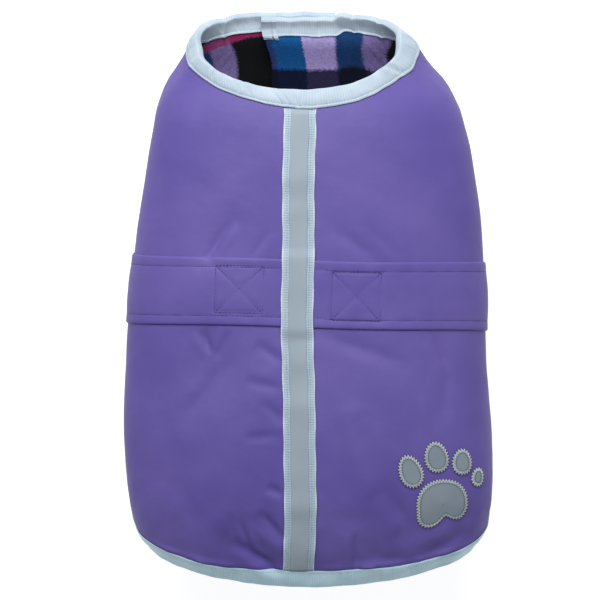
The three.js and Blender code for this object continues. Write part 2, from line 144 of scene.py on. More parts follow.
@dataclass(frozen=True)
class Crease:
    """A crease seen from above: its two ends, depth, width, and the ridge beside it."""

    x1: float
    y1: float
    x2: float
    y2: float
    depth: float
    width: float
    ridge: float = 0.4
    fades: bool = True

    def depth_at(self, x: Array, y: Array) -> Array:
        """Depth of the crease at each place, less the ridge that stands beside it.

        Args:
            x: Places along X, in millimetres.
            y: Places along Y, in millimetres.

        Returns:
            How far the cloth is pressed in at each place.
        """
        dx, dy = self.x2 - self.x1, self.y2 - self.y1
        length = math.hypot(dx, dy)
        t = ((x - self.x1) * dx + (y - self.y1) * dy) / length**2
        near = np.clip(t, 0, 1)
        over = np.hypot(x - self.x1 - dx * near, y - self.y1 - dy * near)
        if not self.fades:
            return self.depth * bell(over, 0, self.width)
        side = ((x - self.x1) * dy - (y - self.y1) * dx) / length
        fade = np.sin(np.pi * np.clip(t, 0, 1)) ** 0.7
        ends = bell(over, np.abs(side), self.width)
        trough = bell(side, 0, self.width)
        beside = bell(side, 1.9 * self.width, 1.3 * self.width)
        return self.depth * (trough - self.ridge * beside) * fade * ends


# The soft folds, where the solids have them.
BROAD_FOLDS = (
    Crease(-74, 38, -56, 66, 1.4, 11, fades=False),
    Crease(30, 58, 58, 38, 0.8, 11, fades=False),
    Crease(-75, -30, -80, -58, 1.8, 10, fades=False),
    Crease(-62, -52, -90, -92, 1.5, 13, fades=False),
    Crease(38, -34, 80, -50, 1.3, 11, fades=False),
    Crease(110, -32, 117, -88, 1.5, 11, fades=False),
    Crease(70, -154, 90, -184, 1.8, 11, fades=False),
    Crease(-58, -194, -36, -208, 2.0, 10, fades=False),
    Crease(42, -92, 54, -150, -1.6, 13, fades=False),
    Crease(60, -196, 110, -206, 1.2, 14, fades=False),
)

# The sharper creases over them.
FINE_CREASES = (
    Crease(-76, 33, -56, 66, 1.6, 3.2),
    Crease(-64, 40, -50, 62, -0.6, 4),
    Crease(-39, 35, -24, 58, 0.7, 3),
    Crease(28, 58, 59, 36, 0.7, 4),
    Crease(49, 65, 82, 36, 0.6, 4),
    Crease(-80, -23, -71, -43, 1.8, 3),
    Crease(-57, -23, -67, -46, 1.6, 3),
    Crease(-60, -50, -91, -93, 1.2, 5),
    Crease(-36, -33, -13, -50, 2.0, 4.6, -0.3),
    Crease(-44, -64, -14, -70, 1.5, 4.0, -0.2),
    Crease(-31, -80, -13, -98, 1.8, 4.6, -0.3),
    Crease(-46, -110, -14, -108, 1.4, 4.2, -0.2),
    Crease(-27, -149, -13, -156, 2.0, 3.4),
    Crease(-33, -169, -13, -193, 2.6, 3.8, -0.5),
    Crease(-30, -186, -14, -203, -1.2, 4),
    Crease(-56, -194, -13, -221, 2.8, 4.2, 0.6),
    Crease(-50, -175, -41, -201, 1.8, 2.6),
    Crease(-57, -170, -55, -190, 1.0, 2.6),
    Crease(-38, -184, -30, -204, 1.2, 2.6),
    Crease(12, -26, 84, -50, 0.9, 5),
    Crease(109, -28, 121, -56, 1.3, 3.4),
    Crease(120, -52, 117, -90, 0.8, 5),
    Crease(98, -74, 104, -108, -0.8, 4.5),
    Crease(34, -85, 55, -162, -0.9, 7, 0.3),
    Crease(69, -152, 90, -184, 1.1, 4.5),
    Crease(44, -187, 47, -217, 2.2, 2.8),
    Crease(141, -185, 98, -208, 1.8, 5),
    Crease(56, -206, 100, -214, 1.2, 5),
    Crease(-116, 120, -122, 70, 0.9, 9, 0.2),
    Crease(104, 150, 122, 96, 0.8, 9, 0.2),
    Crease(-118, -60, -104, -128, 0.7, 9, 0.5),
    Crease(-100, -140, -78, -184, 0.8, 8, 0.5),
    Crease(60, 96, 92, 60, 0.4, 9, 0.3),
    Crease(-96, 110, -66, 84, 0.4, 9, 0.3),
    Crease(60, 197, 88, 184, 2.8, 1.7),
    Crease(-76, 176, -62, 196, 1.3, 1.6),
    Crease(-50, 168, -42, 186, 1.2, 1.6),
)

# Folds across the far side of the neck: place in X, depth and width, in millimetres.
NECK_FOLDS = (
    (-76.0, 1.2, 1.7),
    (-62.0, 1.1, 1.6),
    (-55.0, -0.5, 3.0),
    (42.5, 1.2, 1.5),
    (46.5, -0.8, 1.8),
    (64.0, 1.1, 1.6),
    (69.0, -0.5, 2.4),
    (12.0, 0.4, 5.0),
)


# How far the cloth moves at its edges, in millimetres: the neck hangs in the middle of the back
# and rolls down at the far side, the hem is drawn up on the right, and at the rounded corners
# the cloth slides to the edge and its binding turns down.
NECK_HANG = 2.7
NECK_ROLL = 11.5
HEM_RISE = 0.7
CORNER_SLIDE = 5.0
CORNER_TURN = 6.0


def smooth_step(low: float, high: float, x: Array) -> Array:
    """Smooth rise from 0 at low to 1 at high.

    Args:
        low: Where the rise starts.
        high: Where it ends.
        x: Places to look at.

    Returns:
        The share risen at each place.
    """
    t = np.clip((x - low) / (high - low), 0, 1)
    return t * t * (3 - 2 * t)


def bell(x: Array, at: float | Array, wide: float | Array) -> Array:
    """Smooth bump of height 1.

    Args:
        x: Places to look at.
        at: Place of its top.
        wide: How far from the top it has fallen to 0.37.

    Returns:
        The height at each place.
    """
    return np.exp(-(((x - at) / wide) ** 2))


def along_path(path: Array) -> Array:
    """Distances along a path.

    Args:
        path: Its places, a row each.

    Returns:
        How far from its start each place lies.
    """
    return np.concatenate([[0], np.cumsum(np.linalg.norm(np.diff(path, axis=0), axis=1))])


class BodyForm:
    """The filled form as a table of places, and the cloth that lies on it.

    The table has a row each STEP millimetres of s from FIRST to LAST, and ACROSS columns on
    each side for the shares of the half girth up to SPAN. Its outward directions are softened
    over SOFT_COLUMNS on each side. The ends part from LAP_FAR to LAP_NEAR millimetres off the
    middle of the belly, and slopes are measured PROBE millimetres either way.
    """

    FIRST = -8.0
    LAST = 424.0
    STEP = 1.0
    SPAN = 1.3
    ACROSS = 1300
    SOFT_COLUMNS = 6
    LAP_FAR = 74
    LAP_NEAR = 35
    PROBE = (3, 2.5)

    def __init__(self, rings: Sequence[Ring]) -> None:
        """Work out the table from the rings.

        Args:
            rings: Sections from the neck to the hem.
        """
        self.s = np.arange(self.FIRST, self.LAST + 0.5, self.STEP)
        self.sizes = self._sizes(rings)
        self.girth = np.zeros(len(self.s))
        share = np.linspace(-self.SPAN, self.SPAN, 2 * self.ACROSS + 1)
        folded = np.abs(share)
        sign = np.where(share < 0, -1.0, 1.0)
        sign = np.where(folded > 1, -sign, sign)
        folded = np.where(folded > 1, 2 - folded, folded)
        table = np.zeros((len(self.s), len(share), 3))
        for k in range(len(self.s)):
            half, arc = self._section(k)
            self.girth[k] = arc[-1]
            for axis in range(3):
                table[k, :, axis] = np.interp(folded * arc[-1], arc, half[:, axis])
            table[k, :, 0] = self.sizes["mid"][k] + sign * table[k, :, 0]
        self.table = table
        along = np.gradient(table, self.STEP, axis=0)
        across = np.gradient(table, share[1] - share[0], axis=1)
        for _ in range(2):
            across = self._soften(across, self.SOFT_COLUMNS)
        normal = np.cross(along, across)
        self.normal = normal / np.linalg.norm(normal, axis=2, keepdims=True)

    @staticmethod
    def _soften(values: Array, wide: int) -> Array:
        """Running mean of the values over a few columns.

        Args:
            values: A table with three values at each place.
            wide: Columns taken in on each side.

        Returns:
            The softened table.
        """
        padded = np.pad(values, ((0, 0), (wide, wide), (0, 0)), mode="edge")
        total = np.cumsum(padded, axis=1)
        total = np.concatenate([np.zeros_like(total[:, :1]), total], axis=1)
        count = 2 * wide + 1
        return (total[:, count:] - total[:, :-count]) / count

    def _sizes(self, rings: Sequence[Ring]) -> dict[str, Array]:
        """Every size of the sections at each s, by a cubic through the rings.

        Args:
            rings: Sections from the neck to the hem.

        Returns:
            The name of each size with its values at each s.
        """
        at = np.array([ring.s for ring in rings], float)
        sizes: dict[str, Array] = {}
        for entry in fields(Ring)[1:]:
            value = np.array([getattr(ring, entry.name) for ring in rings], float)
            rise = np.diff(value) / np.diff(at)
            gap = np.diff(at)
            slope = np.empty_like(value)
            slope[0], slope[-1] = rise[0], rise[-1]
            slope[1:-1] = (rise[:-1] * gap[1:] + rise[1:] * gap[:-1]) / (gap[:-1] + gap[1:])
            k = np.clip(np.searchsorted(at, self.s, side="right") - 1, 0, len(at) - 2)
            t = np.clip((self.s - at[k]) / gap[k], 0, 1)
            curve = value[k] * (2 * t**3 - 3 * t**2 + 1) + value[k + 1] * (3 * t**2 - 2 * t**3)
            curve += gap[k] * (slope[k] * (t**3 - 2 * t**2 + t) + slope[k + 1] * (t**3 - t**2))
            curve += np.where(self.s < at[0], slope[0] * (self.s - at[0]), 0)
            curve += np.where(self.s > at[-1], slope[-1] * (self.s - at[-1]), 0)
            sizes[entry.name] = curve
        return sizes

    def _section(self, k: int) -> tuple[Array, Array]:
        """Half a section and the distance of its points from the top.

        Args:
            k: Number of the section in the table.

        Returns:
            Its points, and how far round each lies.
        """
        size = {name: value[k] for name, value in self.sizes.items()}
        angle = np.linspace(0, math.pi, 721)
        cos, sin = np.cos(angle), np.clip(np.sin(angle), 0, None)
        power = size["low_power"] + (size["power"] - size["low_power"]) * smooth_step(-0.35, 0.35, cos)
        up = np.sign(cos) * np.abs(cos) ** (2 / power)
        side = sin ** (2 / power) * (1 - size["egg"] * cos)
        y = size["low_y"] + (size["top_y"] - size["low_y"]) * (1 + up) / 2
        z = size["low_z"] + (size["top_z"] - size["low_z"]) * (1 + up) / 2
        half = np.stack([size["half"] * side, y, z], axis=1)
        return half, along_path(half)

    def _look(self, table: Array, f: Array, s: Array) -> Array:
        """Read a table between its rows and columns.

        Args:
            table: Three values at each place.
            f: Shares of the half girth from the middle of the back.
            s: Distances down the back.

        Returns:
            The values at each place.
        """
        f, s = np.asarray(f, float), np.asarray(s, float)
        row = np.clip((s - self.FIRST) / self.STEP, 0, len(self.s) - 1.001)
        column = np.clip((f + self.SPAN) * self.ACROSS / self.SPAN, 0, table.shape[1] - 1.001)
        j, i = row.astype(int), column.astype(int)
        v, u = (row - j)[..., None], (column - i)[..., None]
        low = table[j, i] * (1 - u) + table[j, i + 1] * u
        high = table[j + 1, i] * (1 - u) + table[j + 1, i + 1] * u
        return low * (1 - v) + high * v

    def points(self, f: Array, s: Array) -> Array:
        """Places on the form, in millimetres.

        Args:
            f: Shares of the half girth from the middle of the back.
            s: Distances down the back.

        Returns:
            X, Y and Z of each place.
        """
        return self._look(self.table, f, s)

    def normals(self, f: Array, s: Array) -> Array:
        """Outward directions on the form.

        Args:
            f: Shares of the half girth from the middle of the back.
            s: Distances down the back.

        Returns:
            A unit vector at each place.
        """
        found = self._look(self.normal, f, s)
        return found / np.linalg.norm(found, axis=-1, keepdims=True)

    def size(self, name: str, s: Array) -> Array:
        """One size of the sections, such as mid or seam, at s.

        Args:
            name: Name of the size.
            s: Distances down the back.

        Returns:
            The size in millimetres.
        """
        return np.interp(s, self.s, self.sizes[name])

    def half_girth(self, s: Array) -> Array:
        """Half the way round at s.

        Args:
            s: Distances down the back.

        Returns:
            Half girths in millimetres.
        """
        return np.interp(s, self.s, self.girth)

    def overlap(self, f: Array, s: Array) -> Array:
        """How fully an end lies over or under the other: 0 on the sides, 1 in the lap.

        Args:
            f: Shares of the half girth from the middle of the back.
            s: Distances down the back.

        Returns:
            The share at each place.
        """
        left = (1 - np.abs(f)) * self.half_girth(s)
        return smooth_step(-self.LAP_FAR, -self.LAP_NEAR, -left)

    def slopes(self, f: float, s: float) -> tuple[Array, Array, Array]:
        """Directions across and along the cloth, and out of it, at one place.

        Args:
            f: Share of the half girth.
            s: Distance down the back.

        Returns:
            The change of place for a step of f, for a step of s, and the outward unit vector.
        """
        df, ds = self.PROBE[0] / float(self.half_girth(s)), self.PROBE[1]
        spots = self.points(np.array([f + df, f - df, f, f]), np.array([s, s, s + ds, s - ds]))
        across = (spots[0] - spots[1]) / (2 * df)
        along = (spots[2] - spots[3]) / (2 * ds)
        out = np.cross(along, across)
        return across, along, out / np.linalg.norm(out)

    def square_step(self, f: float, s: float, edge: Pair, length: float) -> Pair:
        """A step square to an edge, inside the cloth.

        Args:
            f: Share of the half girth where the step starts.
            s: Distance down the back where it starts.
            edge: Direction of the edge there, as changes of f and s.
            length: Length of the step in millimetres.

        Returns:
            f and s where the step ends.
        """
        across, along, out = self.slopes(f, s)
        run = across * edge[0] + along * edge[1]
        inward = np.cross(out, run)
        inward *= length / np.linalg.norm(inward)
        grid = np.array([[across @ across, across @ along], [across @ along, along @ along]])
        change = np.linalg.solve(grid, np.array([across @ inward, along @ inward]))
        return f + float(change[0]), s + float(change[1])


FORM = BodyForm(RINGS)


@dataclass(frozen=True)
class Swell:
    """Slow random swells: their height, their size round and down, and which pattern of them."""

    height: float
    across: float
    down: float
    pattern: float

    def at(self, x: float, y: float) -> float:
        """Height at a place of the flat cloth.

        Args:
            x: Distance round, in millimetres.
            y: Distance down, in millimetres.

        Returns:
            The height in millimetres.
        """
        return self.height * noise.noise(Vector((x / self.across, y / self.down, self.pattern)))


BROAD_SWELL = Swell(0.75, 46, 62, 3.1)
SMALL_SWELL = Swell(0.3, 19, 23, 8.7)
HEM_SWELL = Swell(0.9, 13, 17, 5.2)


def unevenness(a: Array, s: Array) -> Array:
    """Slow swells of the cloth, in millimetres, the same on each run.

    Args:
        a: Distances round from the middle of the back.
        s: Distances down the back.

    Returns:
        Heights in millimetres.
    """
    found = [BROAD_SWELL.at(x, y) + SMALL_SWELL.at(x, y)
             + max(0.0, min(1.0, (y - 300) / 50)) * HEM_SWELL.at(x, y)
             for x, y in zip(np.ravel(a), np.ravel(s))]
    return np.array(found).reshape(np.shape(a))


def neck_line(f: Array, s: Array) -> Array:
    """How far down the back the cloth near the neck is moved, in millimetres.

    The edge hangs a little lower in the middle, is slightly wavy, and the left flap stands
    out past the right one where they lap. The hem is drawn up a little on the right.

    Args:
        f: Shares of the half girth from the middle of the back.
        s: Distances down the back.

    Returns:
        The change of s at each place.
    """
    a = f * FORM.half_girth(s)
    hang = NECK_HANG * bell(a, 6, 60) * smooth_step(-110, -12, -s)
    wave = 0.2 * np.sin(a / 6.1 + 1.2 * np.sin(a / 19)) + 0.1 * np.sin(a / 2.9)
    wave = wave * smooth_step(-34, -6, -s)
    dip = 2.6 - 2.4 * smooth_step(-38, -27, -(1 - np.abs(f)) * FORM.half_girth(s))
    lapped = np.where(f < 0, 0.3, dip) * smooth_step(0.6, 0.86, np.abs(f)) * smooth_step(-70, -5, -s)
    raised = HEM_RISE * bell(a, 90, 42) * smooth_step(330, 400, s)
    return hang + wave - lapped - raised


def neck_flare(f: Array, s: Array) -> Array:
    """How far the far edge of the neck rolls down, in millimetres, so that its binding lies flat.

    Args:
        f: Shares of the half girth from the middle of the back.
        s: Distances down the back.

    Returns:
        Drops in millimetres.
    """
    return NECK_ROLL * smooth_step(0.56, 0.8, np.abs(f)) * smooth_step(-9, -0.5, -s)


def hem_depth(f: Array, s: Array) -> Array:
    """How far inside the rounded hem each place lies, in millimetres.

    Args:
        f: Shares of the half girth from the middle of the back.
        s: Distances down the back.

    Returns:
        Distances from the edge, in millimetres.
    """
    across, below = np.abs(f) * FORM.half_girth(s), np.clip(s - CUT.rear_start, 0, None)
    power = CUT.rear_power
    level = ((across / CUT.side_arc) ** power + (below / CUT.rear_length) ** power) ** (1 / power)
    return (1 - level) * np.hypot(across, below)


def corner_curl(f: Array, s: Array) -> tuple[Array, Array]:
    """How the binding curls under at the rounded corners of the hem.

    Args:
        f: Shares of the half girth from the middle of the back.
        s: Distances down the back.

    Returns:
        How far the cloth just above the binding slides towards the edge, and how far the
        binding turns down, both in millimetres.
    """
    depth = hem_depth(f, s)
    corner = smooth_step(30, 92, np.abs(f) * FORM.half_girth(s)) * smooth_step(300, 345, s)
    turned = corner * smooth_step(-EDGE_FACE, 0, -depth)
    slid = (corner - 0.7 * turned) * smooth_step(-38, -18, -depth)
    return CORNER_SLIDE * slid, CORNER_TURN * turned


def side_stretch(x: Array, f: Array, s: Array) -> Array:
    """How far the cloth stands out to its sides, in millimetres.

    The far side of the neck is spread by its binding, the shoulders below it and the corners
    of the hem are drawn in by theirs.

    Args:
        x: Places along X.
        f: Shares of the half girth from the middle of the back.
        s: Distances down the back.

    Returns:
        The change of X at each place.
    """
    from_middle = x - FORM.size("mid", s)
    spread = smooth_step(0.36, 0.56, np.abs(f)) * smooth_step(-17, -5, -s)
    spread = spread * (0.45 + 0.55 * smooth_step(0, 6, s))
    share = np.where(from_middle > 0, 0.075, 0.03) * spread
    share = share - np.where(from_middle > 0, 0.034, 0.024) * bell(s, 17, 9) * (1 - spread)
    outer = 0.4 + 0.6 * smooth_step(-EDGE_FACE, 0, -hem_depth(f, s))
    return from_middle * (share - 0.054 * smooth_step(336, 378, s) * outer)


def neck_folds(x: Array, f: Array, s: Array) -> Array:
    """How far the folds press in the far side of the neck.

    Args:
        x: Places along X.
        f: Shares of the half girth from the middle of the back.
        s: Distances down the back.

    Returns:
        Depths in millimetres.
    """
    depth = sum(deep * bell(x, at, wide) for at, deep, wide in NECK_FOLDS)
    return depth * smooth_step(0.56, 0.7, np.abs(f)) * smooth_step(-40, -14, -s)


def cloth(f: Array, s: Array, out: Array | float, lift: float = CHEST_LIFT, fine: bool = True) -> Array:
    """Places of a cloth above the inner face of the shell, with the coat's folds.

    Args:
        f: Shares of the half girth from the middle of the back, positive to the right.
        s: Distances down the back.
        out: Height above the inner face of the shell.
        lift: How far the ends part where they lap.
        fine: Whether the sharper creases are added to the broad folds.

    Returns:
        Places in millimetres.
    """
    f, s = np.broadcast_arrays(np.asarray(f, float), np.asarray(s, float))
    slid, turned = corner_curl(f, s)
    side = side_stretch(FORM.points(f, s)[..., 0], f, s)
    s = s + neck_line(f, s) + slid
    spots = FORM.points(f, s)
    raised = np.asarray(out, float) - np.sign(f) * lift * FORM.overlap(f, s)
    pressed = np.zeros(f.shape)
    for fold in BROAD_FOLDS:
        pressed = pressed + fold.depth_at(spots[..., 0], spots[..., 1])
    if fine:
        for crease in FINE_CREASES:
            pressed = pressed + crease.depth_at(spots[..., 0], spots[..., 1])
        pressed = pressed + unevenness(f * FORM.half_girth(s), s) * smooth_step(4, 26, s)
    upper = smooth_step(-0.56, -0.48, -np.abs(f))
    pressed = pressed * upper
    if fine:
        pressed = pressed + neck_folds(spots[..., 0], f, s)
    placed = spots + FORM.normals(f, s) * (raised - pressed)[..., None]
    placed[..., 0] += side
    placed[..., 2] -= neck_flare(f, s) + turned
    return placed


def cloth_round(a: Array, s: Array, out: Array | float, lift: float = CHEST_LIFT) -> Array:
    """Places of a cloth by their distance round the coat.

    Args:
        a: Distances round from the middle of the back, positive to the right.
        s: Distances down the back.
        out: Height above the inner face of the shell.
        lift: How far the ends part where they lap.

    Returns:
        Places in millimetres.
    """
    return cloth(a / FORM.half_girth(s), s, out, lift)


@dataclass(frozen=True)
class CutRow:
    """A row of the panel: how far down the back in the middle and at the side, and the
    share of the half girth that its side reaches, or None along a chest flap's end."""

    centre: float
    side: float
    span: float | None


FRONT_ROWS = (
    CutRow(28, 17, None),
    CutRow(40, 28, None),
    CutRow(52, 40, None),
    CutRow(64, 51, 1.045),
    CutRow(76, 62, 0.965),
    CutRow(88, 74, 0.872),
    CutRow(101, 88, 0.78),
    CutRow(114, 105, 0.698),
    CutRow(127, 124, 0.643),
    CutRow(139.5, 139.5, 0.624),
    CutRow(158, 158, 0.62),
    CutRow(176, 176, 0.62),
    CutRow(194, 194, 0.62),
    CutRow(218, 218, 0.62),
    CutRow(243, 243, 0.62),
    CutRow(267, 267, 0.623),
    CutRow(290, 290, 0.627),
)


@dataclass
class CutBorder:
    """Places along the border of the panel's right half, inside its bindings and on the hem."""

    side: list[Pair]
    hem: list[Pair]
    hem_inner: list[Pair]


@dataclass
class PanelCut:
    """The outline of shell and lining as rows of (f, s), the same as the solids have."""

    side_arc: float = 217.0
    rear_start: float = 290.0
    rear_length: float = 121.0
    rear_power: float = 1.97
    corner_turn: float = 50.0
    corner_gap: float = 6.0
    rear_rows: int = 5
    half: Array = field(init=False)

    def __post_init__(self) -> None:
        """Work out the right half of the cut."""
        self.half = self._half()

    def flap_span(self, s: float) -> float:
        """Share of the half girth where a chest flap ends.

        Args:
            s: Distance down the back.

        Returns:
            The share, a little over 1.
        """
        return 1 + CHEST_PAST / float(FORM.half_girth(s))

    def rear_edge(self, turn: float) -> Pair:
        """Place on the rounded rear edge, 0 degrees at the middle of the hem.

        Args:
            turn: Angle from the middle of the hem, in degrees.

        Returns:
            f and s of the place.
        """
        angle = math.radians(turn)
        arc = self.side_arc * math.sin(angle) ** (2 / self.rear_power)
        s = self.rear_start + self.rear_length * math.cos(angle) ** (2 / self.rear_power)
        return arc / float(FORM.half_girth(s)), s

    def _side_edge(self) -> list[Pair]:
        """Right-hand edge from the neck to the rear corner, a place for each row.

        Returns:
            f and s of each row's end.
        """
        neck = FORM.square_step(self.flap_span(0), 0, (1, 0), -NECK_FACE)
        places = [(self.flap_span(0), 0.0), (self.flap_span(neck[1]), neck[1])]
        for row in FRONT_ROWS:
            places.append((self.flap_span(row.side) if row.span is None else row.span, row.side))
        last = self.corner_turn + self.corner_gap
        for k in range(1, self.rear_rows + 1):
            places.append(self.rear_edge(90 + (last - 90) * k / self.rear_rows))
        places.append(self.rear_edge(self.corner_turn))
        return places

    def _side_inner(self, edge: list[Pair]) -> list[Pair]:
        """The same edge moved in by the face of its binding.

        Args:
            edge: f and s of each row's end.

        Returns:
            f and s of each row inside the binding.
        """
        inner = []
        for row, (f, s) in enumerate(edge):
            straight = f - EDGE_FACE / float(FORM.half_girth(s))
            if row < BOUND_ROW:
                inner.append((straight, s))
                continue
            before, after = edge[row - 1], edge[min(len(edge) - 1, row + 1)]
            step = FORM.square_step(f, s, (after[0] - before[0], after[1] - before[1]), -EDGE_FACE)
            inner.append((straight, step[1]) if row == BOUND_ROW else step)
        return inner

    def _hem(self) -> tuple[list[Pair], list[Pair]]:
        """Places along the hem from its middle to the corner.

        Returns:
            f and s of each place on the edge, and of each place inside the binding.
        """
        hem, inner = [], []
        for i in range(HALF_COLUMNS + 1):
            turn = (self.corner_turn - self.corner_gap) * i / HALF_COLUMNS
            place, ahead = self.rear_edge(turn), self.rear_edge(turn + 1)
            hem.append(place)
            run = (ahead[0] - place[0], ahead[1] - place[1])
            inner.append(FORM.square_step(*place, run, EDGE_FACE))
        corner, past = self.rear_edge(self.corner_turn), self.rear_edge(self.corner_turn - 1)
        run = (past[0] - corner[0], past[1] - corner[1])
        inner[HALF_COLUMNS] = FORM.square_step(*corner, run, -EDGE_FACE)
        return hem, inner

    def _half(self) -> Array:
        """Rows of places from the middle of the back to the side edge.

        Returns:
            f and s of each place, by row and column.
        """
        edge = self._side_edge()
        border = CutBorder(self._side_inner(edge), *self._hem())
        rows = np.zeros((len(edge), HALF_COLUMNS + 2, 2))
        for row, end in enumerate(edge):
            for i in range(HALF_COLUMNS + 1):
                rows[row, i] = self._place(border, row, i)
            rows[row, HALF_COLUMNS + 1] = end
        return rows

    def _place(self, border: CutBorder, row: int, i: int) -> Pair:
        """One place inside the border of the right half.

        Args:
            border: Places along the border.
            row: Number of the row, from the neck.
            i: Number of the column, from the middle of the back.

        Returns:
            f and s of the place.
        """
        inner, hem, hem_inner = border.side, border.hem, border.hem_inner
        rear_row, last_row = len(FRONT_ROWS) + 1, len(inner) - 1
        t = i / HALF_COLUMNS
        if row == 0:
            return inner[0][0] * t, 0.0
        if row == 1:
            return FORM.square_step(inner[0][0] * t, 0, (1, 0), -NECK_FACE)
        if row <= rear_row:
            centre = FRONT_ROWS[row - 2].centre
            return inner[row][0] * t, centre + (inner[row][1] - centre) * t**2.5
        if row == last_row:
            return hem[i]
        w = (row - rear_row) / self.rear_rows
        corner = hem_inner[HALF_COLUMNS]
        target = corner if row == last_row - 1 else inner[row]
        plain_f = inner[rear_row][0] * (1 - w) + corner[0] * w
        plain_s = self.rear_start * (1 - w) + corner[1] * w
        f = inner[rear_row][0] * t * (1 - w) + hem_inner[i][0] * w + (target[0] - plain_f) * t
        s = self.rear_start * (1 - w) + hem_inner[i][1] * w + (target[1] - plain_s) * t**3
        return f, s

    def whole(self) -> Array:
        """Rows of places from the left side edge to the right one.

        Returns:
            f and s of each place, by row and column.
        """
        left = self.half[:, :0:-1].copy()
        left[..., 0] *= -1
        return np.concatenate([left, self.half], axis=1)


def refine(values: Array, times: int | Array, axis: int = 0) -> Array:
    """Places between the given ones, on a smooth curve through them.

    Args:
        values: Places along an axis of the array.
        times: How many steps each gap is cut into, one number or one for each gap.
        axis: The axis to refine.

    Returns:
        The finer array.
    """
    moved = np.moveaxis(values, axis, 0)
    before = 2 * moved[:1] - moved[1:2]
    after = 2 * moved[-1:] - moved[-2:-1]
    wide = np.concatenate([before, moved, after])
    count = len(moved) - 1
    steps = np.broadcast_to(times, count)
    spot = np.concatenate([k + np.arange(n) / n for k, n in enumerate(steps)] + [[count]])
    k = np.minimum(spot.astype(int), count - 1)
    t = (spot - k).reshape((-1,) + (1,) * (moved.ndim - 1))
    p0, p1, p2, p3 = wide[k], wide[k + 1], wide[k + 2], wide[k + 3]
    curve = 0.5 * (2 * p1 + (p2 - p0) * t + (2 * p0 - 5 * p1 + 4 * p2 - p3) * t**2
                   + (3 * p1 - p0 - 3 * p2 + p3) * t**3)
    return np.moveaxis(curve, 0, axis)


CUT = PanelCut()


def linear(hex_colour: str) -> tuple[float, float, float, float]:
    """Turn an sRGB hex colour to linear RGBA.

    Args:
        hex_colour: The colour, such as '#6F62AA'.

    Returns:
        Red, green, blue and an alpha of 1.
    """
    values = [int(hex_colour[k:k + 2], 16) / 255 for k in (1, 3, 5)]
    red, green, blue = (v / 12.92 if v <= 0.04045 else ((v + 0.055) / 1.055) ** 2.4 for v in values)
    return red, green, blue, 1.0


def plug(node: Node, inputs: dict) -> None:
    """Set or link sockets of a node.

    Args:
        node: The node whose inputs are set.
        inputs: Socket names or numbers, each with a value or with a socket to link from.
    """
    for name, value in inputs.items():
        if isinstance(value, Socket):
            node.id_data.links.new(value, node.inputs[name])
        else:
            node.inputs[name].default_value = value


def add_node(material: Material, kind: str, inputs: dict, **settings: str) -> Node:
    """Add one node with its settings and links.

    Args:
        material: The material that gets the node.
        kind: Blender's name for the node type, without its first words.
        inputs: Socket names or numbers, each with a value or with a socket to link from.
        settings: Values of the node's own properties.

    Returns:
        The new node.
    """
    node = material.node_tree.nodes.new("ShaderNode" + kind)
    for name, value in settings.items():
        setattr(node, name, value)
    plug(node, inputs)
    return node


def add_noise(material: Material, place: Socket, scale: float,
              detail: float = 2.0, rough: float = 0.5) -> Node:
    """Add clouds of random shade.

    Args:
        material: The material that gets the node.
        place: Where on the cloth.
        scale: Clouds to the metre.
        detail: How many finer clouds are laid over them.
        rough: How strong the finer clouds are.

    Returns:
        The noise node.
    """
    return add_node(material, "TexNoise", {
        "Vector": place, "Scale": scale, "Detail": detail, "Roughness": rough})


def add_math(material: Material, kind: str, *values: float | Socket) -> Socket:
    """Add one sum and give its result.

    Args:
        material: The material that gets the node.
        kind: Blender's name for the sum.
        values: The numbers or sockets that it works on.

    Returns:
        The socket with the result.
    """
    return add_node(material, "Math", dict(enumerate(values)), operation=kind).outputs["Value"]


def add_ramp(material: Material, place: Socket,
             stops: Sequence[tuple[float, str]]) -> Socket:
    """Add a run of colours.

    Args:
        material: The material that gets the node.
        place: Where on the run, from 0 to 1.
        stops: Places from 0 to 1, each with a hex colour.

    Returns:
        The socket with the colour.
    """
    node = add_node(material, "ValToRGB", {"Fac": place})
    elements = node.color_ramp.elements
    while len(elements) < len(stops):
        elements.new(1.0)
    for element, (at, colour) in zip(elements, stops):
        element.position = at
        element.color = linear(colour)
    return node.outputs["Color"]


def add_bump(material: Material, height: Socket, strength: float, depth_mm: float,
             inputs: dict | None = None) -> Socket:
    """Add a fine relief that only turns the light.

    Args:
        material: The material that gets the node.
        height: Height of the relief, from 0 to 1.
        strength: How much of it the light shows.
        depth_mm: Its full height in millimetres.
        inputs: Further sockets, such as the Normal of a broader relief.

    Returns:
        The socket with the turned normal.
    """
    sockets = {"Height": height, "Strength": strength, "Distance": depth_mm * 0.001}
    return add_node(material, "Bump", {**sockets, **(inputs or {})}).outputs["Normal"]


def add_mix(material: Material, share: float | Socket, first: Socket,
            second: object, blend: str = "MIX") -> Socket:
    """Mix two colours.

    Args:
        material: The material that gets the node.
        share: How much of the second colour is mixed in.
        first: The first colour.
        second: The second colour, as a socket or as linear RGBA.
        blend: Blender's name for the way to mix.

    Returns:
        The socket with the mixed colour.
    """
    sockets = {0: share, 6: first, 7: second}
    return add_node(material, "Mix", sockets, data_type="RGBA", blend_type=blend).outputs[2]


class Finish:
    """A cloth's material, made once and shared by the pieces that carry it."""

    name: str = "cloth"
    _made: dict[str, Material] = {}

    def material(self) -> Material:
        """Give the finish as a material, made the first time it is asked for.

        Returns:
            The material.
        """
        if self.name not in Finish._made:
            made = bpy.data.materials.new(self.name)
            made.use_nodes = True
            made.node_tree.nodes.clear()
            shader = add_node(made, "BsdfPrincipled", {})
            add_node(made, "OutputMaterial", {"Surface": shader.outputs["BSDF"]})
            self.weave(made, shader)
            Finish._made[self.name] = made
        return Finish._made[self.name]

    def weave(self, made: Material, shader: Node) -> None:
        """Fill in colour, roughness and relief.

        Args:
            made: The material that gets the nodes.
            shader: Its surface shader.
        """
        raise NotImplementedError


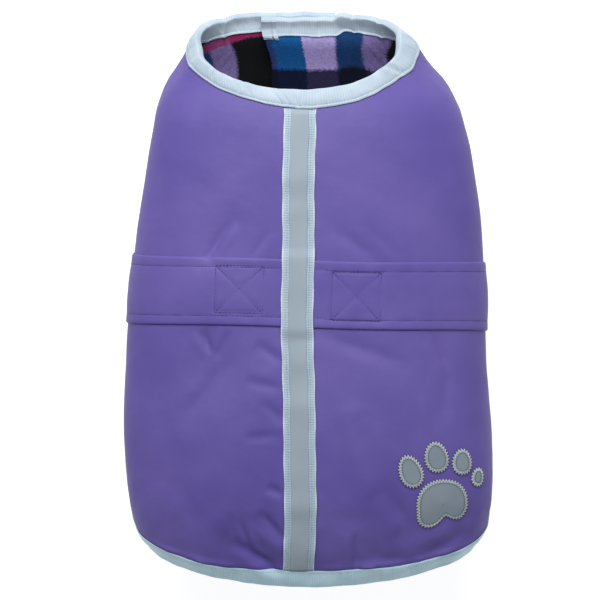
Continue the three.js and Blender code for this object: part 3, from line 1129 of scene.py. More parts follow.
@dataclass(frozen=True)
class CoatedNylon(Finish):
    """Plain-woven nylon taffeta with a soft coating: a low sheen and a faint fine grain.

    The real weave is 0.3 mm, too fine to show, so it is drawn as a grain of 1.1 mm.
    """

    name: str = "woven_nylon_coated"
    light: str = "#63559B"
    dark: str = "#584B93"
    grain_mm: float = 1.1
    crinkle_mm: float = 14.0

    def weave(self, made: Material, shader: Node) -> None:
        """Purple cloth, a shade uneven, with a fine grain and slack crinkles.

        Args:
            made: The material that gets the nodes.
            shader: Its surface shader.
        """
        place = add_node(made, "TexCoord", {}).outputs["Object"]
        cloud = add_noise(made, place, 11.0, 3.0).outputs["Fac"]
        grain = add_noise(made, place, 1000 / self.grain_mm).outputs["Fac"]
        crinkle = add_noise(made, place, 1000 / self.crinkle_mm, 2.0, 0.45).outputs["Fac"]
        slack = add_bump(made, crinkle, 0.32, 1.6)
        plug(shader, {
            "Base Color": add_ramp(made, cloud, [(0.36, self.dark), (0.64, self.light)]),
            "Normal": add_bump(made, grain, 0.16, 0.25, {"Normal": slack}),
            "Roughness": 0.56, "Specular IOR Level": 0.3,
            "Sheen Weight": 0.04, "Sheen Roughness": 0.5, "Sheen Tint": linear("#9C92D0")})


@dataclass(frozen=True)
class PlaidFleece(Finish):
    """Brushed polyester fleece, printed with a plain plaid: matt, with soft fuzzy edges."""

    name: str = "brushed_fleece_plaid"
    repeat_mm: float = 138.0
    drop_mm: float = 74.0
    nap_mm: float = 1.6
    fuzzy_mm: float = 6.2
    line_colour: str = "#9C2A62"
    stripes: tuple[tuple[float, str], ...] = (
        (0.0, "#B9A7E0"), (0.185, "#B9A7E0"), (0.205, "#153F70"), (0.365, "#153F70"),
        (0.385, "#8676AC"), (0.515, "#8676AC"), (0.535, "#07090D"), (0.778, "#07090D"),
        (0.788, "#2C3F78"), (0.812, "#2C3F78"), (0.825, "#0F5C9C"), (0.95, "#0F5C9C"))
    bars: tuple[tuple[float, str], ...] = (
        (0.0, "#3E3E52"), (0.24, "#3E3E52"), (0.26, "#FFFFFF"), (0.91, "#F4F4F8"), (0.96, "#3E3E52"))
    line: tuple[tuple[float, str], ...] = (
        (0.0, "#000000"), (0.25, "#000000"), (0.27, "#E8E8E8"), (0.35, "#E8E8E8"), (0.37, "#000000"))

    def weave(self, made: Material, shader: Node) -> None:
        """Stripes one way over bars the other way, blurred by the nap.

        Args:
            made: The material that gets the nodes.
            shader: Its surface shader.
        """
        uv = add_node(made, "UVMap", {}, uv_map="cloth").outputs["UV"]
        fuzz = add_noise(made, uv, 1000 / self.nap_mm, 3.0).outputs["Color"]
        shift = add_node(made, "VectorMath", {0: fuzz, 1: (0.5, 0.5, 0.5)}, operation="SUBTRACT")
        small = add_node(made, "VectorMath", {
            0: shift.outputs["Vector"], "Scale": 0.001 * self.fuzzy_mm}, operation="SCALE")
        blurred = add_node(made, "VectorMath", {0: uv, 1: small.outputs["Vector"]}, operation="ADD")
        split = add_node(made, "SeparateXYZ", {"Vector": blurred.outputs["Vector"]})
        across = add_math(made, "FRACT", add_math(
            made, "MULTIPLY", split.outputs["X"], 1000 / self.repeat_mm))
        down = add_math(made, "FRACT", add_math(made, "MULTIPLY", split.outputs["Y"], 1000 / self.drop_mm))
        plaid = add_mix(made, 1.0, add_ramp(made, across, self.stripes),
                        add_ramp(made, down, self.bars), "MULTIPLY")
        lined = add_mix(made, add_ramp(made, down, self.line), plaid, linear(self.line_colour))
        tuft = add_noise(made, uv, 1000 / (self.nap_mm * 1.6), 4.0, 0.7).outputs["Fac"]
        shade = add_node(made, "MapRange", {
            "Value": tuft, "From Min": 0.3, "From Max": 0.7, "To Min": 0.72, "To Max": 1.22})
        colour = add_node(made, "VectorMath", {
            0: lined, "Scale": shade.outputs["Result"]}, operation="SCALE")
        plug(shader, {
            "Base Color": colour.outputs["Vector"], "Normal": add_bump(made, tuft, 0.6, 1.2),
            "Roughness": 0.95, "Specular IOR Level": 0.04, "Sheen Weight": 0.05, "Sheen Roughness": 0.7})


@dataclass(frozen=True)
class Grosgrain(Finish):
    """Polyester grosgrain ribbon: fine ribs across its length and a soft silky light.

    The real ribs are about 1 mm apart; they are drawn 2.1 mm apart so that they show.
    """

    name: str = "grosgrain_ribbed"
    light: str = "#B5C2CC"
    dark: str = "#9FB0BE"
    rib_mm: float = 2.1
    rib_height: float = 0.14
    # How much painted shade each rib puts into the colour.
    rib_painted_shade: float = 0.2
    selvedge_mm: float = 0.0

    def weave(self, made: Material, shader: Node) -> None:
        """Pale blue ribs along the ribbon's own length, each rib with painted shade in the colour as well
        as in the relief.

        Args:
            made: The material that gets the nodes.
            shader: Its surface shader.
        """
        uv = add_node(made, "UVMap", {}, uv_map="cloth").outputs["UV"]
        ribs = add_node(made, "TexWave", {
            "Vector": uv, "Scale": 0.314159 / (self.rib_mm * 0.001), "Distortion": 0.5,
            "Detail": 1.0, "Detail Scale": 2.0},
            wave_type="BANDS", bands_direction="X", wave_profile="SIN").outputs["Fac"]
        cloud = add_noise(made, uv, 60.0, 3.0).outputs["Fac"]
        # Painted shade: the rib pattern is mixed into the colour, darker and lighter rib by rib, besides
        # the bump.
        mixed = add_math(made, "MULTIPLY_ADD", ribs, self.rib_painted_shade, cloud)
        colour = add_ramp(made, mixed, [(0.36, self.dark), (0.62 + self.rib_painted_shade, self.light)])
        if self.selvedge_mm:
            place = add_node(made, "SeparateXYZ", {"Vector": uv})
            away = add_math(made, "ABSOLUTE", place.outputs["Y"])
            edge = add_math(made, "GREATER_THAN", away, self.selvedge_mm * 0.001)
            colour = add_mix(made, edge, colour, linear("#CBD6DC"))
        plug(shader, {
            "Base Color": colour, "Normal": add_bump(made, ribs, self.rib_height, 0.5),
            "Roughness": 0.62, "Specular IOR Level": 0.4, "Sheen Weight": 0.1})


@dataclass(frozen=True)
class ReflectiveFilm(Finish):
    """Glass-bead reflective fabric: an even silver grey with a fine bead grain."""

    name: str = "reflective_bead_film"
    light: str = "#98A4AD"
    dark: str = "#8E9BA5"
    bead_mm: float = 0.9
    rough: float = 0.7

    def weave(self, made: Material, shader: Node) -> None:
        """Silver grey, very evenly grained.

        Args:
            made: The material that gets the nodes.
            shader: Its surface shader.
        """
        place = add_node(made, "TexCoord", {}).outputs["Object"]
        bead = add_noise(made, place, 1000 / self.bead_mm, 1.0).outputs["Fac"]
        cloud = add_noise(made, place, 25.0).outputs["Fac"]
        plug(shader, {
            "Base Color": add_ramp(made, cloud, [(0.3, self.dark), (0.7, self.light)]),
            "Normal": add_bump(made, bead, 0.2, 0.2),
            "Roughness": self.rough, "Specular IOR Level": 0.2})


@dataclass(frozen=True)
class SewingThread(Finish):
    """Twisted polyester thread: a slight shine along each stitch."""

    name: str = "polyester_thread"
    colour: str = "#5F549C"

    def weave(self, made: Material, shader: Node) -> None:
        """One colour, a little uneven from stitch to stitch.

        Args:
            made: The material that gets the nodes.
            shader: Its surface shader.
        """
        place = add_node(made, "TexCoord", {}).outputs["Object"]
        cloud = add_noise(made, place, 400.0).outputs["Fac"]
        value = add_node(made, "MapRange", {"Value": cloud, "To Min": 0.85, "To Max": 1.15})
        hue = add_node(made, "HueSaturation", {
            "Color": linear(self.colour), "Value": value.outputs["Result"]})
        plug(shader, {"Base Color": hue.outputs["Color"], "Roughness": 0.55})


@dataclass(frozen=True)
class PaleFloor(Finish):
    """Matt white acrylic of a light table, lit a little from below so that shadows stay pale."""

    name: str = "studio_floor_matt"
    colour: tuple[float, float, float, float] = (0.36, 0.36, 0.362, 1)
    glow: float = 0.86

    def weave(self, made: Material, shader: Node) -> None:
        """Even white with a soft glow.

        Args:
            made: The material, which gets no further nodes.
            shader: Its surface shader.
        """
        plug(shader, {
            "Base Color": self.colour, "Emission Color": (1, 1, 1, 1),
            "Emission Strength": self.glow, "Roughness": 0.9, "Specular IOR Level": 0.1})


NYLON = CoatedNylon()
FLEECE = PlaidFleece()
BINDING_CLOTH = Grosgrain()
# Painted light: the same ribbon as the neck binding, made paler and brighter so that the hem looks more
# lit than the lamps make it.
HEM_CLOTH_PAINTED_LIGHT = Grosgrain("grosgrain_hem_painted_light", "#BFDCE5", "#ADCAD5", rib_height=0.1, rib_painted_shade=0.15)
TAPE_CLOTH = Grosgrain("grosgrain_tape_ribbed", "#A9BAC6", "#93A7B5", rib_mm=2.0, rib_height=0.3,
                       rib_painted_shade=0.5, selvedge_mm=12.1)
STRIP_FILM = ReflectiveFilm()
PATCH_FILM = ReflectiveFilm("reflective_patch_film", "#848F98", "#78848E", rough=0.62)
# Partly painted shade: the band's purple thread is made darker to stand for the shade in the dimple of
# each stitch.
PURPLE_THREAD_PAINTED_SHADE = SewingThread("polyester_thread_purple_painted_shade", "#453A80")
PALE_THREAD = SewingThread("polyester_thread_pale", "#8FA2B3")
GREY_THREAD = SewingThread("polyester_thread_grey", "#C2CAC6")
# Painted shade: a dark finish for the pads that stand for the shade in the needle holes and along the paw
# patches' rims.
HOLE_SHADE = SewingThread("needle_hole_shade", "#3C4347")


def flat_places(u: Array, v: Array) -> Array:
    """Places on the flat cloth from their two distances.

    Args:
        u: Distances one way.
        v: Distances the other way.

    Returns:
        Both distances of each place.
    """
    return np.stack(np.broadcast_arrays(u, v), -1)


def add_object(name: str, data: bpy.types.ID) -> Object:
    """Add an object to the scene.

    Args:
        name: Name of the object.
        data: Its mesh, camera or light.

    Returns:
        The object.
    """
    obj = bpy.data.objects.new(name, data)
    bpy.context.collection.objects.link(obj)
    return obj


def new_mesh(name: str, points: Array, faces: Sequence[Sequence[int]], finish: Finish) -> bpy.types.Mesh:
    """Make a smooth mesh.

    Args:
        name: Name of the mesh.
        points: Places in millimetres, a row each.
        faces: Corners of each face.
        finish: The finish it wears.

    Returns:
        The mesh.
    """
    mesh = bpy.data.meshes.new(name)
    mesh.from_pydata((points * 0.001).tolist(), [], faces)
    mesh.polygons.foreach_set("use_smooth", [True] * len(mesh.polygons))
    mesh.materials.append(finish.material())
    return mesh


def make_object(name: str, points: Array, faces: Array, uv: Array, finish: Finish,
                angle: float | None = None) -> Object:
    """Make a mesh object of points in millimetres.

    Args:
        name: Name of the object.
        points: Places in millimetres, a row each.
        faces: Corners of each face, four to a face.
        uv: Place of each point on the flat cloth, in millimetres.
        finish: The finish it wears.
        angle: Edges sharper than this many degrees stay sharp, or None for all smooth.

    Returns:
        The object, riding on the coat's body.
    """
    quads = [list(dict.fromkeys(face)) for face in faces.tolist()]
    mesh = new_mesh(name, points, quads, finish)
    layer = mesh.uv_layers.new(name="cloth")
    corners = np.zeros(len(mesh.loops), dtype=np.int32)
    mesh.loops.foreach_get("vertex_index", corners)
    layer.data.foreach_set("uv", (uv[corners] * 0.001).ravel())
    mesh.validate()
    mesh.update()
    obj = add_object(name, mesh)
    if angle is not None:
        bpy.ops.object.select_all(action="DESELECT")
        obj.select_set(True)
        bpy.context.view_layer.objects.active = obj
        bpy.ops.object.shade_smooth_by_angle(angle=math.radians(angle))
        obj.select_set(False)
    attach(obj, "root")
    LOG.info("%s: %d faces", name, len(mesh.polygons))
    return obj


def outward(points: Array, faces: Array) -> Array:
    """Turn all faces of a closed body so that they look out.

    Args:
        points: Corners of the body.
        faces: Four corners of each face.

    Returns:
        The faces, turned over if they looked in.
    """
    tri = points[faces[:, [0, 1, 2]]]
    other = points[faces[:, [0, 2, 3]]]
    volume = np.einsum("ij,ij->i", tri[:, 0], np.cross(tri[:, 1], tri[:, 2])).sum()
    volume += np.einsum("ij,ij->i", other[:, 0], np.cross(other[:, 1], other[:, 2])).sum()
    return faces[:, ::-1] if volume < 0 else faces


def closed_sheet(name: str, upper: Array, lower: Array, uv: Array, finish: Finish,
                 angle: float | None = None) -> Object:
    """Cloth with an upper and a lower face and a rim between them.

    Args:
        name: Name of the object.
        upper: Rows of places of the upper face.
        lower: Rows of places of the lower face.
        uv: Rows of places on the flat cloth.
        finish: The finish it wears.
        angle: Edges sharper than this many degrees stay sharp.

    Returns:
        The object.
    """
    rows, columns = upper.shape[:2]
    index = np.arange(rows * columns).reshape(rows, columns)
    quads = np.stack([index[:-1, :-1], index[:-1, 1:], index[1:, 1:], index[1:, :-1]], -1).reshape(-1, 4)
    under = rows * columns
    loop = np.concatenate([index[0], index[1:, -1], index[-1, -2::-1], index[-2:0:-1, 0]])
    after = np.roll(loop, -1)
    rim = np.stack([after, loop, loop + under, after + under], -1)
    faces = np.concatenate([quads, (quads + under)[:, ::-1], rim])
    points = np.concatenate([upper.reshape(-1, 3), lower.reshape(-1, 3)])
    flat = np.concatenate([uv.reshape(-1, 2)] * 2)
    return make_object(name, points, outward(points, faces), flat, finish, angle)


def closed_tube(name: str, sections: Array, uv: Array, finish: Finish,
                angle: float | None = None) -> Object:
    """A run of closed sections with both ends shut by strips across them.

    Args:
        name: Name of the object.
        sections: Places, one row for each section, its points in order round it.
        uv: Places on the flat cloth, as sections.
        finish: The finish it wears.
        angle: Edges sharper than this many degrees stay sharp.

    Returns:
        The object.
    """
    count, around = sections.shape[:2]
    index = np.arange(count * around).reshape(count, around)
    ahead = np.roll(index, -1, axis=1)
    quads = np.stack([index[:-1], index[1:], ahead[1:], ahead[:-1]], -1).reshape(-1, 4)
    half = around // 2
    ends = []
    for row, turn in ((index[0], 1), (index[-1], -1)):
        for k in range(half - 1):
            ends.append([row[k], row[k + 1], row[around - 2 - k], row[around - 1 - k]][::turn])
    faces = np.concatenate([quads, np.array(ends)])
    points = sections.reshape(-1, 3)
    return make_object(name, points, outward(points, faces), uv.reshape(-1, 2), finish, angle)


@dataclass
class Panel:
    """Shell or lining: one large sheet cut to the panel's outline.

    Its pattern starts DOWN_RIGHT and DOWN_LEFT millimetres further down on the two flaps, and
    ROUND_LEFT further round on the left one.
    """

    DOWN_RIGHT = 17
    DOWN_LEFT = 5
    ROUND_LEFT = -6.0

    name: str
    node: str
    slot: str
    finish: Finish
    top: float
    bottom: float
    down: float
    across: int
    puff: float = 0.0

    def flat(self, f: Array, s: Array) -> Array:
        """Places on the flat cloth: how far round from a chest flap's lap, and how far down.

        Args:
            f: Shares of the half girth from the middle of the back.
            s: Distances down the back.

        Returns:
            Both distances in millimetres.
        """
        girth = FORM.half_girth(s)
        reach = girth + (BAND_GIRTH - girth) * smooth_step(-0.5, -0.1, -np.abs(f))
        u = np.where(f >= 0, reach - f * girth, -reach - f * girth)
        depth = np.arange(0, 425.0)
        low = np.interp(s, depth, along_path(FORM.points(np.ones_like(depth), depth)))
        v = s + (low - s) * smooth_step(0.45, 0.9, np.abs(f))
        v = v + self.DOWN_RIGHT * smooth_step(0.3, 0.6, f)
        v = v + self.DOWN_LEFT * smooth_step(0.3, 0.6, -f)
        u = u + np.where(f >= 0, 0.0, self.ROUND_LEFT)
        return np.stack([u, v], -1)

    def puffed(self, f: Array, s: Array) -> Array:
        """How far the cloth bulges just above the binding of the hem.

        Args:
            f: Shares of the half girth from the middle of the back.
            s: Distances down the back.

        Returns:
            The height of the bulge in millimetres.
        """
        line = CUT.half[-2, :HALF_COLUMNS + 1]
        corner = line[-1, 0]
        above = np.interp(np.abs(f), line[:, 0], line[:, 1]) - s
        a = f * FORM.half_girth(s)
        uneven = 0.9 + 0.35 * np.sin(a / 7.3 + 1.4 * np.sin(a / 21)) + 0.25 * np.sin(a / 3.7 + 2)
        bulge = bell(above, 2.4, 2.3) * uneven * smooth_step(12, 22, np.abs(a + 8))
        return self.puff * bulge * smooth_step(-corner, -0.78 * corner, -np.abs(f))

    def build(self) -> Object:
        """Make the sheet and let it stand for its solid.

        Returns:
            The object.
        """
        steps = np.maximum(2, np.round(np.diff(CUT.half[:, 0, 1]) / self.down)).astype(int)
        steps[np.searchsorted(CUT.half[:, 0, 1], BAND_TOP) - 1] *= 2
        places = refine(refine(CUT.whole(), steps, 0), self.across, 1)
        f, s = places[..., 0], places[..., 1]
        uv = self.flat(f, s)
        rise = self.puffed(f, s)
        upper, lower = cloth(f, s, self.top + rise), cloth(f, s, self.bottom + rise)
        obj = closed_sheet(self.name, upper, lower, uv, self.finish, SHEET_ANGLE)
        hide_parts(self.node)
        return obj


@dataclass
class FoldedBinding:
    """Ribbon folded over an edge and sewn through, with a lip beyond its stitches."""

    name: str
    node: str
    face: float
    bulge: float
    lip: float
    groove: float
    folds: float
    edge: Array
    inner: Array
    beyond: Array
    times: int

    def profile(self) -> tuple[Array, Array]:
        """The section: distance in from the cloth's edge, and height over the shell.

        Returns:
            Both in millimetres, in order round the section.
        """
        outside = SHELL + FOLD_GAP + BINDING
        inside = -(GAP + LINING + FOLD_GAP + BINDING)
        face, lip = self.face, self.lip
        w = np.array([face, face - 0.4, face - 1.4, face - lip + 0.6, face - lip, face - lip - 0.8,
                      face - lip - 2.4, face * 0.55, face * 0.35, face * 0.18, 0.4])
        rise = np.array([0.1, 0.2, 0.2, 0.2, 0.3, 0.4, 0.6, 0.9, 0.95, 0.7, 0.25])
        pulled = np.array([-0.85, -0.3, -0.1, -0.2, -0.75, -0.4, -0.05, 0, 0, 0, 0])
        swell = (rise + pulled * self.groove) * self.bulge
        upper = outside + swell
        turn = np.linspace(60, -60, 7) * math.pi / 180
        middle, radius = (outside + inside) / 2, (outside - inside) / 2
        fold_w = -0.4 - 1.6 * np.cos(turn) * self.bulge
        fold_out = middle + radius * np.sin(turn) * 1.05
        inner_w = w[::-1]
        lower = inside - swell[::-1] * 0.7
        back_w = np.array([face - 0.2, face * 0.5, 0.0, -0.5, -0.5, 0.0, face * 0.5, face - 0.2])
        back = np.array([inside + BINDING] * 4 + [outside - BINDING] * 4)
        back[3], back[4] = inside + BINDING + 0.4, outside - BINDING - 0.4
        return (np.concatenate([w, fold_w, inner_w, back_w]),
                np.concatenate([upper, fold_out, lower, back]))

    def gathers(self, length: Array) -> Array:
        """Small folds across the ribbon where it runs round a bend.

        Args:
            length: Distances along the ribbon.

        Returns:
            Heights in millimetres.
        """
        pick = np.random.default_rng(11)
        height = 0.12 * np.sin(length / 4.7 + np.sin(length / 15))
        at = 4.0
        while at < length[-1]:
            deep, wide = pick.uniform(0.3, 1.1), pick.uniform(0.7, 1.3)
            height = height - deep * bell(length, at, wide)
            height = height + 0.5 * deep * bell(length - at, 2.2 * wide, 1.4 * wide)
            at += pick.uniform(5, 22)
        return self.folds * height

    def build(self, finish: Finish) -> Object:
        """Make the ribbon and let it stand for its solid.

        Args:
            finish: The ribbon's finish.

        Returns:
            The object.
        """
        edge, inner, beyond = (refine(part, self.times) for part in (self.edge, self.inner, self.beyond))
        w, out = self.profile()
        inward = (inner - edge)[:, None] * (np.clip(w, 0, None) / self.face)[None, :, None]
        outside = (beyond - edge)[:, None] * (np.clip(-w, 0, None) / FOLD_REACH)[None, :, None]
        places = edge[:, None] + inward + outside
        length = along_path(FORM.points(edge[:, 0], edge[:, 1]))
        face = np.sin(np.pi * np.clip(w / self.face, 0, 1)) * np.where(out > 0, 1, -1)
        points = cloth(places[..., 0], places[..., 1], out + self.gathers(length)[:, None] * face)
        around = along_path(flat_places(w, out))
        uv = flat_places(length[:, None], around[None])
        obj = closed_tube(self.name, points, uv, finish, 55)
        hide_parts(self.node)
        return obj


class Bindings:
    """The neck binding and the binding of the lower edge."""

    def neck(self) -> FoldedBinding:
        """Binding along the neck, from the left flap to the right flap.

        Returns:
            The binding.
        """
        whole = CUT.whole()
        beyond = np.array([FORM.square_step(f, s, (1, 0), FOLD_REACH) for f, s in whole[0]])
        return FoldedBinding("neck_binding_ribbon", "neck_binding", NECK_FACE, bulge=0.6, lip=3.0,
                             groove=1.3, folds=0.8, edge=whole[0], inner=whole[1], beyond=beyond,
                             times=12)

    def lower(self) -> FoldedBinding:
        """Binding from the right flap round the hem to the left flap.

        Returns:
            The binding.
        """
        half = CUT.half
        last = len(half) - 1
        edge = [tuple(half[row, HALF_COLUMNS + 1]) for row in range(BOUND_ROW, last + 1)]
        inner = [tuple(half[min(row, last - 1), HALF_COLUMNS]) for row in range(BOUND_ROW, last + 1)]
        for i in range(HALF_COLUMNS, -1, -1):
            edge.append(tuple(half[last, i]))
            inner.append(tuple(half[last - 1, i]))
        inner[0] = (CUT.flap_span(inner[0][1]), inner[0][1])
        left_edge = [(-f, s) for f, s in edge[-2::-1]]
        left_inner = [(-f, s) for f, s in inner[-2::-1]]
        edges, inners = np.array(edge + left_edge), np.array(inner + left_inner)
        beyond = []
        for k, (f, s) in enumerate(edges):
            run = edges[min(len(edges) - 1, k + 1)] - edges[max(0, k - 1)]
            beyond.append(FORM.square_step(f, s, tuple(run), FOLD_REACH))
        return FoldedBinding("edge_binding_ribbon", "edge_binding", EDGE_FACE, bulge=0.5, lip=2.2,
                             groove=0.3, folds=0.5, edge=edges, inner=inners,
                             beyond=np.array(beyond), times=8)


@dataclass
class RibbonEnd:
    """A turned-in end of the neck ribbon, on the inner face at the right flap's end."""

    name: str
    near: float
    far: float

    def build(self) -> Object:
        """Make the strip: near and far are distances from the flap's end.

        Returns:
            The object.
        """
        away = np.linspace(self.near, self.far, 9)[None]
        face = float(CUT.half[1, -1, 1])
        down = 1.26 * face
        s = np.linspace(-0.35, down, 30)[:, None]
        f = 1 + (CHEST_PAST - away) / FORM.half_girth(s)
        lining = -GAP - LINING
        base = lining - (FOLD_GAP + BINDING + 0.5) * smooth_step(-1.2 * face, -0.98 * face, -s) - 0.35
        round_edge = 0.35 * np.abs(2 * (away - self.near) / (self.far - self.near) - 1) ** 6
        stitch = 0.45 * bell(s, 0.95 * face, 0.3)
        inner = cloth(f, s, base - 0.8 + round_edge + stitch)
        outer = cloth(f, s, base + 0 * away)
        uv = flat_places(s, away)
        obj = closed_sheet(self.name, inner, outer, uv, BINDING_CLOTH, SHEET_ANGLE)
        return obj


@dataclass
class StitchBox:
    """A sewn box with a cross in it, on the belly band, in millimetres round and down."""

    a1: float
    a2: float
    s1: float
    s2: float

    def lines(self) -> list[tuple[float, float, float, float]]:
        """The six lines of the box, each as two ends.

        Returns:
            Round and down of the first end, then of the other.
        """
        a1, a2, s1, s2 = self.a1, self.a2, self.s1, self.s2
        return [(a1, s1, a2, s1), (a2, s1, a2, s2), (a2, s2, a1, s2), (a1, s2, a1, s1),
                (a1, s1, a2, s2), (a2, s1, a1, s2)]


@dataclass
class BellyBand:
    """Band round the coat, lapped under the belly, with sewn edges and two crossed boxes."""

    tilt: float = 0.018
    stitch_in: float = 7.6
    fine_to: float = 92
    fine_step: float = 1.6
    coarse_step: float = 3.6
    seams: tuple[Pair, ...] = ((-185.0, -14.0), (14.0, 185.0))
    boxes: tuple[StitchBox, ...] = (
        StitchBox(-75, -36, 146, 184),
        StitchBox(19, 58.5, 148, 187),
    )

    def lean(self, a: Array) -> Array:
        """How far down the band hangs at each place round it; its ends meet level below.

        Args:
            a: Distances round from the middle of the back.

        Returns:
            Distances in millimetres.
        """
        slope = np.where(a < 0, 1.5 * self.tilt, self.tilt)
        level = 1 - smooth_step(185, 320, np.abs(a))
        return (np.clip(a, -170, 170) * slope + 0.6 * np.sin(a / 31)) * level

    def stations(self) -> tuple[Array, Array]:
        """Places round the band on the right, and their height over the shell.

        Returns:
            Both in millimetres.
        """
        edge = SIDE_SHARE * BAND_GIRTH
        near = np.arange(0, self.fine_to, self.fine_step)
        far = np.arange(self.fine_to, edge + BELLY_PAST + (1 - SIDE_SHARE) * BAND_GIRTH, self.coarse_step)
        a = np.concatenate([near, far])
        on_edge = smooth_step(edge - EDGE_FACE - 14, edge - EDGE_FACE, a)
        past = smooth_step(edge + 4, edge + 20, a)
        out = SHELL + GAP + on_edge * (BINDING + FOLD_GAP + 0.3) * (1 - past) - past * (SHELL + GAP)
        return a, out

    def groove(self, a: Array, w: Array) -> Array:
        """How far the sewing pulls the band in.

        Args:
            a: Distances round from the middle of the back.
            w: Distances down from the band's upper edge.

        Returns:
            Depths in millimetres.
        """
        height = BAND_LOW - BAND_TOP
        depth = np.zeros(np.broadcast(a, w).shape)
        for line in (self.stitch_in, height - self.stitch_in):
            depth = np.maximum(depth, 0.22 * bell(w, line, 1.2))
        s = BAND_TOP + w
        for box in self.boxes:
            for a1, s1, a2, s2 in box.lines():
                span = (a2 - a1) ** 2 + (s2 - s1) ** 2
                t = np.clip(((a - a1) * (a2 - a1) + (s - s1) * (s2 - s1)) / span, 0, 1)
                away = np.hypot(a - a1 - t * (a2 - a1), s - s1 - t * (s2 - s1))
                depth = np.maximum(depth, 0.5 * bell(away, 0, 1.0))
        return depth

    def place(self, a: Array, w: Array, out: Array) -> Array:
        """Places of the band: a round from the middle, w down from its upper edge.

        Args:
            a: Distances round from the middle of the back.
            w: Distances down from the band's upper edge.
            out: Heights over the inner face of the shell.

        Returns:
            Places in millimetres.
        """
        return cloth_round(a, BAND_TOP + w + self.lean(a), out, BELLY_LIFT)

    def build(self) -> Object:
        """Make the band and let it stand for its solid.

        Returns:
            The object.
        """
        height = BAND_LOW - BAND_TOP
        right, out = self.stations()
        a = np.concatenate([-right[:0:-1], right])[:, None]
        out = np.concatenate([out[:0:-1], out])[:, None]
        # Distances in from each edge, closest together beside the seam.
        rim = np.array([0, 0.5, 1.3, 3, 5, 6.4, 7.1, 7.6, 8.1, 8.8, 10.2, 12, 14, 16, 18, 20, 22, 24.5])
        w = np.concatenate([rim, [height / 2], (height - rim)[::-1]])[None]
        close = np.minimum(w, height - w)
        thick = BAND * (0.45 + 0.55 * np.sqrt(np.clip(close / 1.3, 0, 1)))
        puff = 0.4 * smooth_step(8, 20, close)
        puff = puff + 0.03 * smooth_step(0.5, 3, close) * smooth_step(-7.4, -4, -close)
        ripple = 0.13 * np.sin(a / 2.6 + 2 * np.sin(a / 23)) * bell(close, self.stitch_in, 3.2)
        upper = self.place(a, w, out + thick + puff + ripple - self.groove(a, w))
        lower = self.place(a, w, out + 0 * w)
        uv = flat_places(a, w + BAND_TOP)
        obj = closed_sheet("belly_band_cloth", upper, lower, uv, NYLON, SHEET_ANGLE)
        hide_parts("belly_band")
        return obj


@dataclass
class BackTape:
    """A tape down the back, stepping over the belly band."""

    name: str
    node: str
    slot: str
    finish: Finish
    width: float
    start: float
    thick: float
    band: BellyBand
    tuck: float = 1.2
    swells: tuple[tuple[float, float, float], ...] = (
        (72, 0.9, 10), (100, 0.8, 8), (222, 0.9, 10), (256, 1.0, 10), (340, 1.0, 10), (375, 0.9, 9))

    def course(self) -> Array:
        """Distances down the back from the neck binding to the hem binding.

        Returns:
            Distances in millimetres.
        """
        return np.linspace(NECK_FACE - self.tuck, float(CUT.half[-2, 0, 1]) + self.tuck, 200)

    def flattened(self, s: Array) -> Array:
        """How flat the tape lies where it runs under a binding: 0 under it, 1 past it.

        Args:
            s: Distances down the back.

        Returns:
            The share at each place.
        """
        last = float(CUT.half[-2, 0, 1])
        return smooth_step(NECK_FACE - 0.2, NECK_FACE + 2.6, s) * smooth_step(-last - 0.2, 2.6 - last, -s)

    def over_band(self, s: Array) -> Array:
        """How far the tape is lifted by the band.

        Args:
            s: Distances down the back.

        Returns:
            Heights in millimetres.
        """
        rise = smooth_step(BAND_TOP - 11, BAND_TOP - 0.6, s)
        rise = rise * smooth_step(-BAND_LOW - 11, -BAND_LOW - 0.6, -s)
        return rise * (BAND + GAP + 0.45) + self.slack(s)

    def slack(self, s: Array) -> Array:
        """How far the tape stands off the cloth where it is a little slack.

        Args:
            s: Distances down the back.

        Returns:
            Heights in millimetres, none under 0.
        """
        height = np.zeros_like(s)
        for at, high, wide in self.swells:
            height = height + high * bell(s, at, wide)
        return height

    def place(self, across: Array, s: Array, out: Array) -> Array:
        """Places of the tape: across from its middle line, s down the back.

        Args:
            across: Distances from the tape's middle line.
            s: Distances down the back.
            out: Heights over the inner face of the shell.

        Returns:
            Places in millimetres.
        """
        middle = FORM.size("seam", s) - FORM.size("mid", s) + 0.35 * np.sin(s / 17)
        low = SHELL + 0.1 * (self.start - SHELL)
        out = low + (out - low) * self.flattened(s)
        return cloth_round(middle + across, s, out)

    def build(self) -> Object:
        """Make the tape and let it stand for its solid.

        Returns:
            The object.
        """
        s = self.course()[:, None]
        share = np.array([-1, -0.985, -0.93, -0.8, -0.6, -0.3, 0, 0.3, 0.6, 0.8, 0.93, 0.985, 1])[None]
        across = share * self.width / 2 + 0.25 * np.sin(s / 5.3 + 1) * np.sign(share)
        thick = self.thick * np.array([0.4, 0.8, 1, 1, 1, 1, 1, 1, 1, 1, 1, 0.8, 0.4])[None]
        wave = 0.12 * np.sin(s / 4.1) * np.abs(share) ** 3
        base = self.start + self.over_band(s) + wave
        upper = self.place(across, s, base + thick)
        lower = self.place(across, s, base + 0 * thick)
        uv = flat_places(s, across)
        obj = closed_sheet(self.name, upper, lower, uv, self.finish, SHEET_ANGLE)
        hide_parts(self.node)
        return obj


